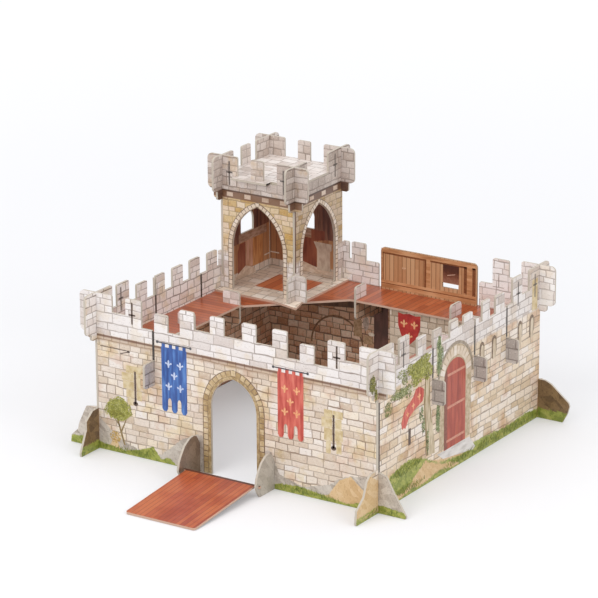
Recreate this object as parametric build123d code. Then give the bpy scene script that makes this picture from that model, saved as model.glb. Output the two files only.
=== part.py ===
from build123d import *
import math
import os

# Card castle, slotted together from flat printed cards.
# The origin is on the ground, in the middle of the rectangle of the four outer walls.
# X runs to the right along the front wall, Y to the back wall, Z up. Sizes are in millimetres.

# Driving sizes
CASTLE_WIDTH = 450.0      # from the middle of the left wall card to the middle of the right one
CASTLE_DEPTH = 426.0      # from the middle of the front wall card to the middle of the back one
WALL_HEIGHT = 225.0       # ground to the top of the tallest merlons
WALK_DROP = 77.0          # top of the tallest merlons down to the upper face of the walkway
TOWER_SIDE = 122.0        # from middle to middle of opposite tower walls
TOWER_HEIGHT = 347.5      # ground to the top of the tower
CARD = 3.2                # thickness of the card
PLAY = 0.2                # room on each side of a card in its slot
GATE_WIDTH = 73.0
GATE_HEIGHT = 142.0
GATE_OFFSET = 8.3         # how far past the middle the centre of each side of the gate's pointed top is
BRIDGE_WIDTH = 110.0
BRIDGE_LENGTH = 141.5     # from the hinge line to the far edge

# Sizes that follow
HALF_CARD = CARD / 2
SLOT_HALF = HALF_CARD + PLAY
HALF_WIDTH = CASTLE_WIDTH / 2
HALF_DEPTH = CASTLE_DEPTH / 2
FLOOR_TOP = WALL_HEIGHT - WALK_DROP
FLOOR_UNDER = FLOOR_TOP - CARD
COLLAR_TOP = FLOOR_TOP + CARD

# Heights of the corner laps of the outer walls
FOOT_LAP_Z = 30.0
CORBEL_DROP = 67.0
WING_DROP = 57.5
WING_LAP_DROP = 29.0
CORBEL_Z = WALL_HEIGHT - CORBEL_DROP
WING_Z = WALL_HEIGHT - WING_DROP
WING_LAP_Z = WALL_HEIGHT - WING_LAP_DROP

# Corner wings of the outer walls
WING_REACH = 26.0
CORBEL_REACH = 13.6
WING_ROUND = 7.0
CORBEL_ROUND = 4.0
MERLON_ROUND = 2.5

# Feet: outlines as shares of this reach and this height
FOOT_REACH = 50.0
FOOT_HEIGHT = 60.0
FRONT_LEFT_FOOT_SHARES = [(0, 1.0), (0.4, 0.95), (0.66, 0.5), (0.7, 0.35), (0.92, 0.18), (0.95, 0)]
FRONT_RIGHT_FOOT_SHARES = [(0, 0.95), (0.28, 0.88), (0.5, 0.55), (0.66, 0.34), (0.88, 0.06), (0.86, 0)]
BACK_RIGHT_FOOT_SHARES = [(0, 0.95), (0.26, 0.95), (0.46, 0.88), (0.68, 0.73), (1.02, 0.5),
                          (1.05, 0.42), (0.99, 0.23), (0.84, 0)]
BACK_LEFT_FOOT_SHARES = [(0, 1.0), (0.4, 0.95), (0.66, 0.5), (0.7, 0.35), (0.92, 0.18), (0.95, 0)]
LEFT_FRONT_FOOT_SHARES = [(0, 0.98), (0.3, 0.97), (0.6, 0.78), (0.6, 0.58), (0.88, 0.08), (0.86, 0)]
LEFT_BACK_FOOT_SHARES = [(0, 0.95), (0.28, 0.88), (0.5, 0.55), (0.66, 0.34), (0.88, 0.06), (0.86, 0)]
RIGHT_FRONT_FOOT_SHARES = [(0, 1.0), (0.38, 1.0), (0.56, 0.88), (0.72, 0.55), (1.08, 0.32),
                           (1.12, 0.06), (1.1, 0)]
RIGHT_BACK_FOOT_SHARES = [(0, 0.95), (0.28, 0.88), (0.5, 0.55), (0.66, 0.34), (0.88, 0.06), (0.86, 0)]

# Battlements. Each step runs from the end of the step before it to its own end.
# Both numbers are shares: of the wall's length from its first corner, and of WALL_HEIGHT.
FRONT_HALF_STEP_SHARES = [(0.0613, 1.0), (0.1118, 0.893), (0.1693, 1.0), (0.2169, 0.831),
                          (0.2653, 0.942), (0.3102, 0.836), (0.3604, 0.998), (0.4191, 0.889),
                          (0.4676, 0.998)]
FRONT_MIDDLE_SHARE = 0.887
LEFT_STEP_SHARES = [(0.0847, 1.0), (0.1113, 0.853), (0.1758, 0.987), (0.2192, 0.844),
                    (0.2756, 0.933), (0.3178, 0.813), (0.3754, 0.933), (0.4211, 0.813),
                    (0.4786, 0.933), (0.5209, 0.813), (0.5772, 0.933), (0.6242, 0.813),
                    (0.6793, 0.927), (0.738, 0.813), (0.794, 0.927), (0.8242, 0.813),
                    (0.8883, 0.942), (0.9153, 0.853), (1.0, 1.0)]
RIGHT_STEP_SHARES = [(0.0847, 1.0), (0.1195, 0.844), (0.1758, 1.0), (0.2263, 0.836),
                     (0.2768, 0.947), (0.3167, 0.836), (0.3718, 0.938), (0.4235, 0.84),
                     (0.4716, 0.942), (0.508, 0.876), (0.562, 0.933), (0.6019, 0.871),
                     (0.6254, 0.836), (0.6723, 0.956), (0.7099, 0.836), (0.7662, 0.947),
                     (0.8202, 0.844), (0.8812, 1.0), (0.9305, 0.867), (1.0, 1.0)]
BACK_STEP_SHARES = [(0.0613, 1.0), (0.1118, 0.809), (0.1693, 0.942), (0.2591, 0.809),
                    (0.3089, 0.92), (0.3193, 0.809), (0.3713, 0.924), (0.4202, 0.813)]
BACK_RIGHT_STEP_SHARES = [(0.8369, 0.818), (0.8947, 0.987), (0.9391, 0.88), (1.0, 1.0)]
BACK_NOTCH_SHARES = (0.4202, 0.7891)

# Brackets. Places are shares of the wall's length from its first corner.
LEFT_BRACKET_SHARES = [0.3225, 0.5843]
RIGHT_BRACKET_SHARES = [0.3178, 0.5772, 0.7826]
BACK_BRACKET_SHARES = [0.4291, 0.7769]
FRONT_BRACKET_SHARES = [0.2124]
BRACKET_DEPTH = 34.8
BRACKET_TIP_DEPTH = 26.8
BRACKET_LAP_DEPTH = 17.8
BRACKET_UNDER_Z = FLOOR_UNDER - BRACKET_DEPTH
BRACKET_TIP_Z = FLOOR_UNDER - BRACKET_TIP_DEPTH
BRACKET_LAP_Z = FLOOR_UNDER - BRACKET_LAP_DEPTH
BRACKET_OUT = 21.0
FRONT_BRACKET_OUT = 25.0
UPSTAND_LENGTH = 28.0
UPSTAND_RISE = 19.0
UPSTAND_TOP_Z = FLOOR_TOP + UPSTAND_RISE
UPSTAND_ROUND = 5.0
BRACKET_ROUND = 4.0
TIP_ROUND = 7.0
BRACKET_SHOULDER = 6.0

# Walkway floor, measured from the middles of the walls
ARM_LEFT = 67.6
ARM_RIGHT = 65.4
ARM_BACK = 71.6
ARM_FRONT = 64.4
FRONT_RETURN = 119.6
RIGHT_ARM_START = 94.4
CHAMFER_START = 245.4
CHAMFER_END = 185.6
FLOOR_ROUND = 6.0

# Plank front of the back walkway, with the slot under its printed window
PANEL_LEFT_SHARE = 0.4347
PANEL_RIGHT_SHARE = 0.7858
PANEL_RISE = 62.0
PANEL_TOP_Z = FLOOR_TOP + PANEL_RISE
PANEL_BACK_GAP = 4.0
PANEL_ROUND = 6.0
PANEL_TAB = 16.0
PANEL_TAB_SHARES = [0.23, 0.84]
SILL_SLOT_LEFT_SHARE = 0.643
SILL_SLOT_RIGHT_SHARE = 0.812
SILL_SLOT_RISE = 19.2
SILL_SLOT_HEIGHT = 7.0
SILL_SLOT_Z = FLOOR_TOP + SILL_SLOT_RISE

# Stone partition under the back walkway
PARTITION_LEFT_SHARE = 0.5524
PARTITION_RIGHT_SHARE = 0.8302
PARTITION_BACK_GAP = 66.1
PARTITION_LAP_DEPTH = 13.8
PARTITION_LAP_Z = FLOOR_UNDER - PARTITION_LAP_DEPTH

# Tower
TOWER_LEFT_GAP = 5.4      # from the middle of the castle's left wall to the middle of the tower's
TOWER_BACK_GAP = 5.0
TOWER_FOOT_LAP_RISE = 18.8
TOWER_FOOT_RISE = 37.8
TOWER_HOOK_RISE = 53.8
TOWER_FOOT_LAP_Z = COLLAR_TOP + TOWER_FOOT_LAP_RISE
TOWER_FOOT_TOP_Z = COLLAR_TOP + TOWER_FOOT_RISE
TOWER_HOOK_TOP_Z = COLLAR_TOP + TOWER_HOOK_RISE
TOWER_FOOT_REACH = 19.2
TOWER_HOOK_REACH = 7.8
TOWER_CORBEL_DROP = 64.5
TOWER_WING_DROP = 51.0
TOWER_LAP_DROP = 25.5
ROOF_DROP = 31.2
TOWER_CORBEL_Z = TOWER_HEIGHT - TOWER_CORBEL_DROP
TOWER_WING_Z = TOWER_HEIGHT - TOWER_WING_DROP
TOWER_WING_LAP_Z = TOWER_HEIGHT - TOWER_LAP_DROP
ROOF_UNDER_Z = TOWER_HEIGHT - ROOF_DROP
TOWER_WING_REACH = 23.5
TOWER_CORBEL_REACH = 13.6
ARCH_HALF = 42.6
ARCH_SPRING_DROP = 68.0    # from the corbels down to where the arches begin to curve
ARCH_SPRING_Z = TOWER_CORBEL_Z - ARCH_SPRING_DROP
ARCH_OFFSET = 26.2        # how far past the middle the centre of each side of a pointed arch is
ARCH_SHIFT = 0.6
TOWER_WINDOW_HALF = 16.75
TOWER_WINDOW_DROP = 49.0
TOWER_WINDOW_UPRIGHT = 16.0
TOWER_WINDOW_SPRING_Z = TOWER_CORBEL_Z - TOWER_WINDOW_DROP
TOWER_WINDOW_SILL_Z = TOWER_WINDOW_SPRING_Z - TOWER_WINDOW_UPRIGHT
TOWER_EVEN_SHARES = [0.224, 0.411, 0.583, 0.7715]
TOWER_LEFT_SHARES = [0.2228, 0.405, 0.585, 0.716]
TOWER_RIGHT_SHARES = [0.2574, 0.716]

# Collar under the tower and its loose corner
COLLAR_FRONT = 17.6
COLLAR_RIGHT = 12.1
COLLAR_TIP_X = 20.1
COLLAR_TIP_Y = 28.6
COLLAR_TIP_BACK = 22.0
COLLAR_EDGE = 1.0

# Roof platform's front tongue, measured from the left tower wall and out from the front wall's face
ROOF_TONGUE_LEFT = 23.6
ROOF_TONGUE_RIGHT = 82.6
ROOF_TONGUE_REACH = 10.4

# Gate fins and drawbridge
BRIDGE_SHIFT = 3.0        # the bridge hangs this far right of the gate's middle
FIN_SPREAD = 60.0
FIN_SHARES = [(0, 0), (0.8, 0), (0.9, 0.12), (1.0, 0.3), (0.94, 0.5), (0.84, 0.66), (0.68, 0.85),
              (0.45, 0.97), (0.27, 1.0), (0.14, 0.95), (0.04, 0.78), (0, 0.74)]
FIN_REACHES = [51.0, 44.0]
FIN_HEIGHTS = [56.0, 54.0]
FIN_TAB_LOW = 12.0
FIN_TAB_HIGH = 38.0
FIN_TAB_BEHIND = 6.0
HINGE_OUT = 37.0          # from the outer face of the front wall to the hinge line
HINGE_Z = 14.3
PIN_RADIUS = 2.25
HINGE_CLEARANCE = 0.05
BRIDGE_BEHIND = 2.3       # card behind the hinge line
PIN_PAST_FIN = 1.5
BRIDGE_ROUND = 4.0
OVERRUN = 10.0            # how far a cutter runs past what it cuts


def block(left, right, low, high):
    """Flat rectangle between two places along the card and two heights."""
    return make_face(Polyline((left, low), (right, low), (right, high), (left, high), close=True))


def shape(points):
    """Flat outline through the points, closed."""
    return make_face(Polyline(*points, close=True))


def rounded(face, places, radius):
    """The face with the corners nearest to the places rounded."""
    for along, height in places:
        corner = face.vertices().sort_by_distance((along, height, 0))[0]
        face = fillet(corner, radius)
    return face


def across(face, y):
    """A card that stands along X, its middle at this Y."""
    plane = Plane(origin=(0, y, 0), x_dir=(1, 0, 0), z_dir=(0, -1, 0))
    return extrude(plane * face, amount=HALF_CARD, both=True)


def along(face, x):
    """A card that stands along Y, its middle at this X."""
    plane = Plane(origin=(x, 0, 0), x_dir=(0, 1, 0), z_dir=(1, 0, 0))
    return extrude(plane * face, amount=HALF_CARD, both=True)


def lying(face, z):
    """A card that lies flat with its underside at this height."""
    return extrude(Pos(0, 0, z) * face, amount=CARD)


def battlement(first, length, steps, height):
    """Wall outline above the ground from a table of steps, with rounded merlon corners."""
    points = [(first, 0)]
    corners = []
    begin = first
    levels = [level for end, level in steps]
    for number, (end, level) in enumerate(steps):
        finish = first + end * length
        points += [(begin, level * height), (finish, level * height)]
        if number > 0 and levels[number - 1] < level:
            corners.append((begin, level * height))
        if number < len(steps) - 1 and levels[number + 1] < level:
            corners.append((finish, level * height))
        begin = finish
    points.append((begin, 0))
    return rounded(shape(points), corners, MERLON_ROUND)


def wing(corner, side, reach, corbel_reach, corbel_z, wing_z, top_z):
    """Corner wing: a block past the corner at the top with a smaller corbel under it."""
    tip = corner + side * reach
    step = corner + side * corbel_reach
    face = shape([(corner, corbel_z), (step, corbel_z), (step, wing_z), (tip, wing_z),
                  (tip, top_z), (corner, top_z)])
    face = rounded(face, [(tip, wing_z), (tip, top_z)], WING_ROUND)
    return rounded(face, [(step, corbel_z)], CORBEL_ROUND)


def foot(corner, side, shares):
    """Rock-shaped foot past the corner."""
    points = [(corner, 0)]
    for out, up in shares:
        points.append((corner + side * out * FOOT_REACH, up * FOOT_HEIGHT))
    return shape(points)


def lap_under(corner, side, foot_lap, corbel_z, wing_lap, top_z):
    """Cuts of the card that takes the other card from above."""
    near = corner - side * SLOT_HALF
    far = corner + side * SLOT_HALF
    left = min(near, far)
    right = max(near, far)
    return [block(left, right, foot_lap, corbel_z), block(left, right, wing_lap, top_z + OVERRUN)]


def lap_over(corner, side, base, foot_lap, corbel_z, wing_lap):
    """Cuts of the card that is lowered over the other one."""
    near = corner - side * SLOT_HALF
    far = corner + side * SLOT_HALF
    left = min(near, far)
    right = max(near, far)
    return [block(left, right, base - OVERRUN, foot_lap), block(left, right, corbel_z - PLAY, wing_lap)]


def outer_wall(half, steps, first_foot, last_foot, over):
    """Outline of an outer wall with wings, feet and the cuts of its corner laps."""
    face = battlement(-half, half + half, steps, WALL_HEIGHT)
    cuts = []
    for side, shares in [(-1, first_foot), (1, last_foot)]:
        corner = side * half
        flush = corner + side * HALF_CARD
        face = face + block(min(corner, flush), max(corner, flush), 0, CORBEL_Z)
        face = face + wing(corner, side, WING_REACH, CORBEL_REACH, CORBEL_Z, WING_Z, WALL_HEIGHT)
        face = face + foot(corner, side, shares)
        if over:
            cuts += lap_over(corner, side, 0, FOOT_LAP_Z, CORBEL_Z, WING_LAP_Z)
        else:
            cuts += lap_under(corner, side, FOOT_LAP_Z, CORBEL_Z, WING_LAP_Z, WALL_HEIGHT)
    for cut in cuts:
        face = face - cut
    return face


def slot(place, low, high):
    """Slot for a crossing card."""
    return block(place - SLOT_HALF, place + SLOT_HALF, low, high)


def round_arch(middle, half, low, spring):
    """Opening with upright sides and a round top."""
    edges = Polyline((middle - half, spring), (middle - half, low), (middle + half, low),
                     (middle + half, spring))
    top = ThreePointArc((middle + half, spring), (middle, spring + half), (middle - half, spring))
    return make_face(edges + top)


def pointed_arch(middle, half, low, spring, offset):
    """Opening with upright sides and a pointed top of two equal arcs."""
    radius = half + offset
    peak = spring + math.sqrt(radius * radius - offset * offset)
    half_turn = math.acos(offset / radius) / 2
    drop = offset - radius * math.cos(half_turn)
    rise = radius * math.sin(half_turn)
    edges = Polyline((middle - half, spring), (middle - half, low), (middle + half, low),
                     (middle + half, spring))
    right = ThreePointArc((middle + half, spring), (middle - drop, spring + rise), (middle, peak))
    left = ThreePointArc((middle, peak), (middle + drop, spring + rise), (middle - half, spring))
    return make_face(edges + right + left)


def bracket(reach, out):
    """Bracket outline: 0 is the middle of the wall card, positive runs into the castle."""
    stem = reach - UPSTAND_LENGTH
    face = shape([(-out, BRACKET_UNDER_Z), (BRACKET_SHOULDER, BRACKET_UNDER_Z), (reach, BRACKET_TIP_Z),
                  (reach, UPSTAND_TOP_Z), (stem, UPSTAND_TOP_Z), (stem, FLOOR_UNDER),
                  (-out, FLOOR_UNDER)])
    face = rounded(face, [(reach, UPSTAND_TOP_Z), (stem, UPSTAND_TOP_Z)], UPSTAND_ROUND)
    face = rounded(face, [(-out, BRACKET_UNDER_Z), (-out, FLOOR_UNDER)], BRACKET_ROUND)
    face = rounded(face, [(reach, BRACKET_TIP_Z)], TIP_ROUND)
    return face - block(-SLOT_HALF, SLOT_HALF, BRACKET_UNDER_Z - OVERRUN, BRACKET_LAP_Z)


pieces = {}

# Front wall
front_steps = list(FRONT_HALF_STEP_SHARES)
mirror_levels = [level for end, level in FRONT_HALF_STEP_SHARES]
mirror_ends = [end for end, level in FRONT_HALF_STEP_SHARES]
front_steps.append((1 - mirror_ends[-1], FRONT_MIDDLE_SHARE))
for number in range(len(mirror_ends) - 1, -1, -1):
    end = 1.0 if number == 0 else 1 - mirror_ends[number - 1]
    front_steps.append((end, mirror_levels[number]))

front_face = outer_wall(HALF_WIDTH, front_steps, FRONT_LEFT_FOOT_SHARES, FRONT_RIGHT_FOOT_SHARES, False)
gate_half = GATE_WIDTH / 2
gate_radius = gate_half + GATE_OFFSET
gate_rise = math.sqrt(gate_radius * gate_radius - GATE_OFFSET * GATE_OFFSET)
front_face = front_face - pointed_arch(0, gate_half, -OVERRUN, GATE_HEIGHT - gate_rise, GATE_OFFSET)
front_bracket_places = [-HALF_WIDTH + share * CASTLE_WIDTH for share in FRONT_BRACKET_SHARES]
for place in front_bracket_places:
    front_face = front_face - slot(place, BRACKET_LAP_Z, WALL_HEIGHT + OVERRUN)
fin_places = [BRIDGE_SHIFT - FIN_SPREAD, BRIDGE_SHIFT + FIN_SPREAD]
for place in fin_places:
    front_face = front_face - slot(place, FIN_TAB_LOW, FIN_TAB_HIGH + PLAY)
pieces["front_wall"] = across(front_face, -HALF_DEPTH)

# Left wall
tower_left = -HALF_WIDTH + TOWER_LEFT_GAP
tower_right = tower_left + TOWER_SIDE
tower_back = HALF_DEPTH - TOWER_BACK_GAP
tower_front = tower_back - TOWER_SIDE
left_face = outer_wall(HALF_DEPTH, LEFT_STEP_SHARES, LEFT_FRONT_FOOT_SHARES, LEFT_BACK_FOOT_SHARES, True)
left_bracket_places = [-HALF_DEPTH + share * CASTLE_DEPTH for share in LEFT_BRACKET_SHARES]
for place in left_bracket_places:
    left_face = left_face - slot(place, BRACKET_LAP_Z, WALL_HEIGHT + OVERRUN)
left_face = left_face - slot(tower_front, COLLAR_TOP, WALL_HEIGHT + OVERRUN)
pieces["left_wall"] = along(left_face, -HALF_WIDTH)

# Right wall
right_face = outer_wall(HALF_DEPTH, RIGHT_STEP_SHARES, RIGHT_FRONT_FOOT_SHARES, RIGHT_BACK_FOOT_SHARES,
                        True)
right_bracket_places = [-HALF_DEPTH + share * CASTLE_DEPTH for share in RIGHT_BRACKET_SHARES]
for place in right_bracket_places:
    right_face = right_face - slot(place, BRACKET_LAP_Z, WALL_HEIGHT + OVERRUN)
pieces["right_wall"] = along(right_face, HALF_WIDTH)

# Back wall, with the wide notch behind the planks
notch_left_share, notch_right_share = BACK_NOTCH_SHARES
notch_left = -HALF_WIDTH + notch_left_share * CASTLE_WIDTH
notch_right = -HALF_WIDTH + notch_right_share * CASTLE_WIDTH
notch_level = FLOOR_UNDER / WALL_HEIGHT
back_steps = BACK_STEP_SHARES + [(notch_right_share, notch_level)] + BACK_RIGHT_STEP_SHARES
back_face = outer_wall(HALF_WIDTH, back_steps, BACK_LEFT_FOOT_SHARES, BACK_RIGHT_FOOT_SHARES, False)
back_bracket_places = [-HALF_WIDTH + share * CASTLE_WIDTH for share in BACK_BRACKET_SHARES]
for place in back_bracket_places:
    back_face = back_face - slot(place, BRACKET_LAP_Z, WALL_HEIGHT + OVERRUN)
back_face = back_face - slot(tower_right, COLLAR_TOP, WALL_HEIGHT + OVERRUN)
pieces["back_wall"] = across(back_face, HALF_DEPTH)

# Walkway floor
wall_gap = HALF_CARD + PLAY
floor_left = -HALF_WIDTH + wall_gap
floor_right = HALF_WIDTH - wall_gap
floor_front = -HALF_DEPTH + wall_gap
floor_back = HALF_DEPTH - wall_gap
inner_left = -HALF_WIDTH + ARM_LEFT
inner_right = HALF_WIDTH - ARM_RIGHT
inner_back = HALF_DEPTH - ARM_BACK
inner_front = -HALF_DEPTH + ARM_FRONT
return_end = -HALF_WIDTH + FRONT_RETURN
arm_start = -HALF_DEPTH + RIGHT_ARM_START
floor_points = [(floor_left, floor_front), (return_end, floor_front), (return_end, inner_front),
                (inner_left, inner_front), (inner_left, -HALF_DEPTH + CHAMFER_START),
                (-HALF_WIDTH + CHAMFER_END, inner_back), (inner_right, inner_back),
                (inner_right, arm_start), (floor_right, arm_start), (floor_right, floor_back),
                (floor_left, floor_back)]
floor_face = rounded(shape(floor_points), [(return_end, inner_front), (inner_right, arm_start)], FLOOR_ROUND)
floor_face = floor_face + block(notch_left + PLAY, notch_right - PLAY, inner_back, HALF_DEPTH + HALF_CARD)
upstand_cut = UPSTAND_LENGTH + PLAY
for place in left_bracket_places:
    floor_face = floor_face - block(inner_left - upstand_cut, inner_left + UPSTAND_LENGTH,
                                    place - SLOT_HALF, place + SLOT_HALF)
for place in right_bracket_places:
    floor_face = floor_face - block(inner_right - OVERRUN, inner_right + upstand_cut,
                                    place - SLOT_HALF, place + SLOT_HALF)
for place in back_bracket_places:
    floor_face = floor_face - block(place - SLOT_HALF, place + SLOT_HALF,
                                    inner_back - OVERRUN, inner_back + upstand_cut)
for place in front_bracket_places:
    floor_face = floor_face - block(place - SLOT_HALF, place + SLOT_HALF,
                                    inner_front - upstand_cut, inner_front + OVERRUN)
panel_left = -HALF_WIDTH + PANEL_LEFT_SHARE * CASTLE_WIDTH
panel_right = -HALF_WIDTH + PANEL_RIGHT_SHARE * CASTLE_WIDTH
panel_width = panel_right - panel_left
panel_y = HALF_DEPTH - PANEL_BACK_GAP
tab_places = [panel_left + share * panel_width for share in PANEL_TAB_SHARES]
tab_half = PANEL_TAB / 2
for place in tab_places:
    floor_face = floor_face - block(place - tab_half - PLAY, place + tab_half + PLAY,
                                    panel_y - SLOT_HALF, panel_y + SLOT_HALF)
pieces["walkway_floor"] = lying(floor_face, FLOOR_UNDER)

# Brackets that stand across the walls and carry the floor
for number, place in enumerate(left_bracket_places):
    face = Pos(-HALF_WIDTH, 0) * bracket(ARM_LEFT, BRACKET_OUT)
    pieces["left_bracket_" + str(number + 1)] = across(face, place)
for number, place in enumerate(right_bracket_places):
    face = Pos(HALF_WIDTH, 0) * mirror(bracket(ARM_RIGHT, BRACKET_OUT), Plane.YZ)
    pieces["right_bracket_" + str(number + 1)] = across(face, place)
partition_y = HALF_DEPTH - PARTITION_BACK_GAP
for number, place in enumerate(back_bracket_places):
    face = Pos(HALF_DEPTH, 0) * mirror(bracket(ARM_BACK, BRACKET_OUT), Plane.YZ)
    if place > 0:
        face = face - slot(partition_y, BRACKET_UNDER_Z - OVERRUN, PARTITION_LAP_Z)
    pieces["back_bracket_" + str(number + 1)] = along(face, place)
for place in front_bracket_places:
    face = Pos(-HALF_DEPTH, 0) * bracket(ARM_FRONT, FRONT_BRACKET_OUT)
    pieces["front_bracket"] = along(face, place)

# Partition under the back walkway, lapped with one of the back brackets
partition_left = -HALF_WIDTH + PARTITION_LEFT_SHARE * CASTLE_WIDTH
partition_right = -HALF_WIDTH + PARTITION_RIGHT_SHARE * CASTLE_WIDTH
partition_face = block(partition_left, partition_right, 0, FLOOR_UNDER)
for place in back_bracket_places:
    if partition_left < place < partition_right:
        partition_face = partition_face - slot(place, PARTITION_LAP_Z, FLOOR_UNDER + OVERRUN)
pieces["partition"] = across(partition_face, partition_y)

# Plank front, with a slot where the sill of its printed window is
panel_face = block(panel_left, panel_right, FLOOR_TOP, PANEL_TOP_Z)
panel_face = rounded(panel_face, [(panel_left, PANEL_TOP_Z), (panel_right, PANEL_TOP_Z)], PANEL_ROUND)
for place in tab_places:
    panel_face = panel_face + block(place - tab_half, place + tab_half, FLOOR_UNDER, FLOOR_TOP)
sill_left = panel_left + SILL_SLOT_LEFT_SHARE * panel_width
sill_right = panel_left + SILL_SLOT_RIGHT_SHARE * panel_width
panel_face = panel_face - block(sill_left, sill_right, SILL_SLOT_Z, SILL_SLOT_Z + SILL_SLOT_HEIGHT)
pieces["plank_front"] = across(panel_face, panel_y)

# Collar card under the tower; its front right corner comes to a loose tip
collar_left = -HALF_WIDTH + HALF_CARD + COLLAR_EDGE
collar_back = HALF_DEPTH - HALF_CARD - COLLAR_EDGE
collar_right = tower_right + COLLAR_RIGHT
collar_front = tower_front - COLLAR_FRONT
collar_face = shape([(collar_left, collar_front), (tower_right - COLLAR_TIP_BACK, collar_front),
                     (tower_right + COLLAR_TIP_X, tower_front - COLLAR_TIP_Y),
                     (collar_right, tower_front + COLLAR_EDGE), (collar_right, collar_back),
                     (collar_left, collar_back)])
pieces["tower_collar"] = lying(collar_face, FLOOR_TOP)


def tower_wall(first, ends, full_level, low_level, over, first_foot, last_foot, first_hook, last_hook):
    """Outline of a tower wall. Merlons and gaps take turns, starting and ending with a merlon."""
    rise = TOWER_HEIGHT - COLLAR_TOP
    steps = []
    for number, end in enumerate(list(ends) + [1.0]):
        level = full_level if number % 2 == 0 else low_level
        steps.append((end, level / rise))
    face = Pos(0, COLLAR_TOP) * battlement(first, TOWER_SIDE, steps, rise)
    last = first + TOWER_SIDE
    face = face + block(first - HALF_CARD, last + HALF_CARD, COLLAR_TOP, TOWER_CORBEL_Z)
    cuts = []
    for side, corner, has_foot, has_hook in [(-1, first, first_foot, first_hook),
                                             (1, last, last_foot, last_hook)]:
        face = face + wing(corner, side, TOWER_WING_REACH, TOWER_CORBEL_REACH, TOWER_CORBEL_Z,
                           TOWER_WING_Z, TOWER_HEIGHT)
        if has_foot:
            tip = corner + side * TOWER_FOOT_REACH
            base = block(min(corner, tip), max(corner, tip), COLLAR_TOP, TOWER_FOOT_TOP_Z)
            face = face + rounded(base, [(tip, TOWER_FOOT_TOP_Z)], WING_ROUND)
        if has_hook:
            tip = corner + side * TOWER_HOOK_REACH
            hook = block(min(corner, tip), max(corner, tip), COLLAR_TOP, TOWER_HOOK_TOP_Z)
            face = face + rounded(hook, [(tip, TOWER_HOOK_TOP_Z)], MERLON_ROUND)
        if over:
            cuts += lap_over(corner, side, COLLAR_TOP, TOWER_FOOT_LAP_Z, TOWER_CORBEL_Z,
                             TOWER_WING_LAP_Z)
        else:
            cuts += lap_under(corner, side, TOWER_FOOT_LAP_Z, TOWER_CORBEL_Z, TOWER_WING_LAP_Z,
                              TOWER_HEIGHT)
    for cut in cuts:
        face = face - cut
    return face


full = TOWER_HEIGHT - COLLAR_TOP
low = ROOF_UNDER_Z - COLLAR_TOP
tower_middle_x = (tower_left + tower_right) / 2
tower_middle_y = (tower_front + tower_back) / 2

face = tower_wall(tower_left, TOWER_EVEN_SHARES, full, low, False, False, True, True, False)
face = face - pointed_arch(tower_middle_x - ARCH_SHIFT, ARCH_HALF, COLLAR_TOP - OVERRUN, ARCH_SPRING_Z,
                           ARCH_OFFSET)
pieces["tower_front"] = across(face, tower_front)

face = tower_wall(tower_left, TOWER_EVEN_SHARES, full, low, False, False, False, False, False)
face = face - round_arch(tower_middle_x + ARCH_SHIFT, TOWER_WINDOW_HALF, TOWER_WINDOW_SILL_Z,
                         TOWER_WINDOW_SPRING_Z)
pieces["tower_back"] = across(face, tower_back)

face = tower_wall(tower_front, TOWER_RIGHT_SHARES, full, low, True, True, False, False, True)
face = face - pointed_arch(tower_middle_y + ARCH_SHIFT, ARCH_HALF, COLLAR_TOP - OVERRUN, ARCH_SPRING_Z,
                           ARCH_OFFSET)
pieces["tower_right"] = along(face, tower_right)

face = tower_wall(tower_front, TOWER_LEFT_SHARES, full, low, True, False, False, False, False)
face = face - round_arch(tower_middle_y - ARCH_SHIFT, TOWER_WINDOW_HALF, TOWER_WINDOW_SILL_Z,
                         TOWER_WINDOW_SPRING_Z)
pieces["tower_left"] = along(face, tower_left)

# Roof platform: its ears lie in the gaps between the merlons, and a tongue reaches out in front
roof_face = block(tower_left + wall_gap, tower_right - wall_gap, tower_front + wall_gap,
                  tower_back - wall_gap)
roof_tip = tower_front - HALF_CARD - ROOF_TONGUE_REACH
for begin, end in [(0, 1), (2, 3)]:
    ear_left = tower_left + TOWER_EVEN_SHARES[begin] * TOWER_SIDE + PLAY
    ear_right = tower_left + TOWER_EVEN_SHARES[end] * TOWER_SIDE - PLAY
    roof_face = roof_face + block(ear_left, ear_right, tower_middle_y, tower_back + HALF_CARD)
    if begin == 0:
        roof_face = roof_face + block(ear_left, ear_right, roof_tip, tower_middle_y)
    ear_low = tower_front + TOWER_LEFT_SHARES[begin] * TOWER_SIDE + PLAY
    ear_high = tower_front + TOWER_LEFT_SHARES[end] * TOWER_SIDE - PLAY
    roof_face = roof_face + block(tower_left - HALF_CARD, tower_middle_x, ear_low, ear_high)
ear_low = tower_front + TOWER_RIGHT_SHARES[0] * TOWER_SIDE + PLAY
ear_high = tower_front + TOWER_RIGHT_SHARES[1] * TOWER_SIDE - PLAY
roof_face = roof_face + block(tower_middle_x, tower_right + HALF_CARD, ear_low, ear_high)
tongue_slot_right = tower_left + TOWER_EVEN_SHARES[2] * TOWER_SIDE + PLAY
tongue_left = tower_left + ROOF_TONGUE_LEFT
tongue_right = tower_left + ROOF_TONGUE_RIGHT
roof_face = roof_face + block(tongue_slot_right, tongue_right, roof_tip, tower_middle_y)
roof_face = roof_face + block(tongue_left, tongue_right, roof_tip, tower_front - HALF_CARD - PLAY)
pieces["tower_roof"] = lying(roof_face, ROOF_UNDER_Z)

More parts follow.
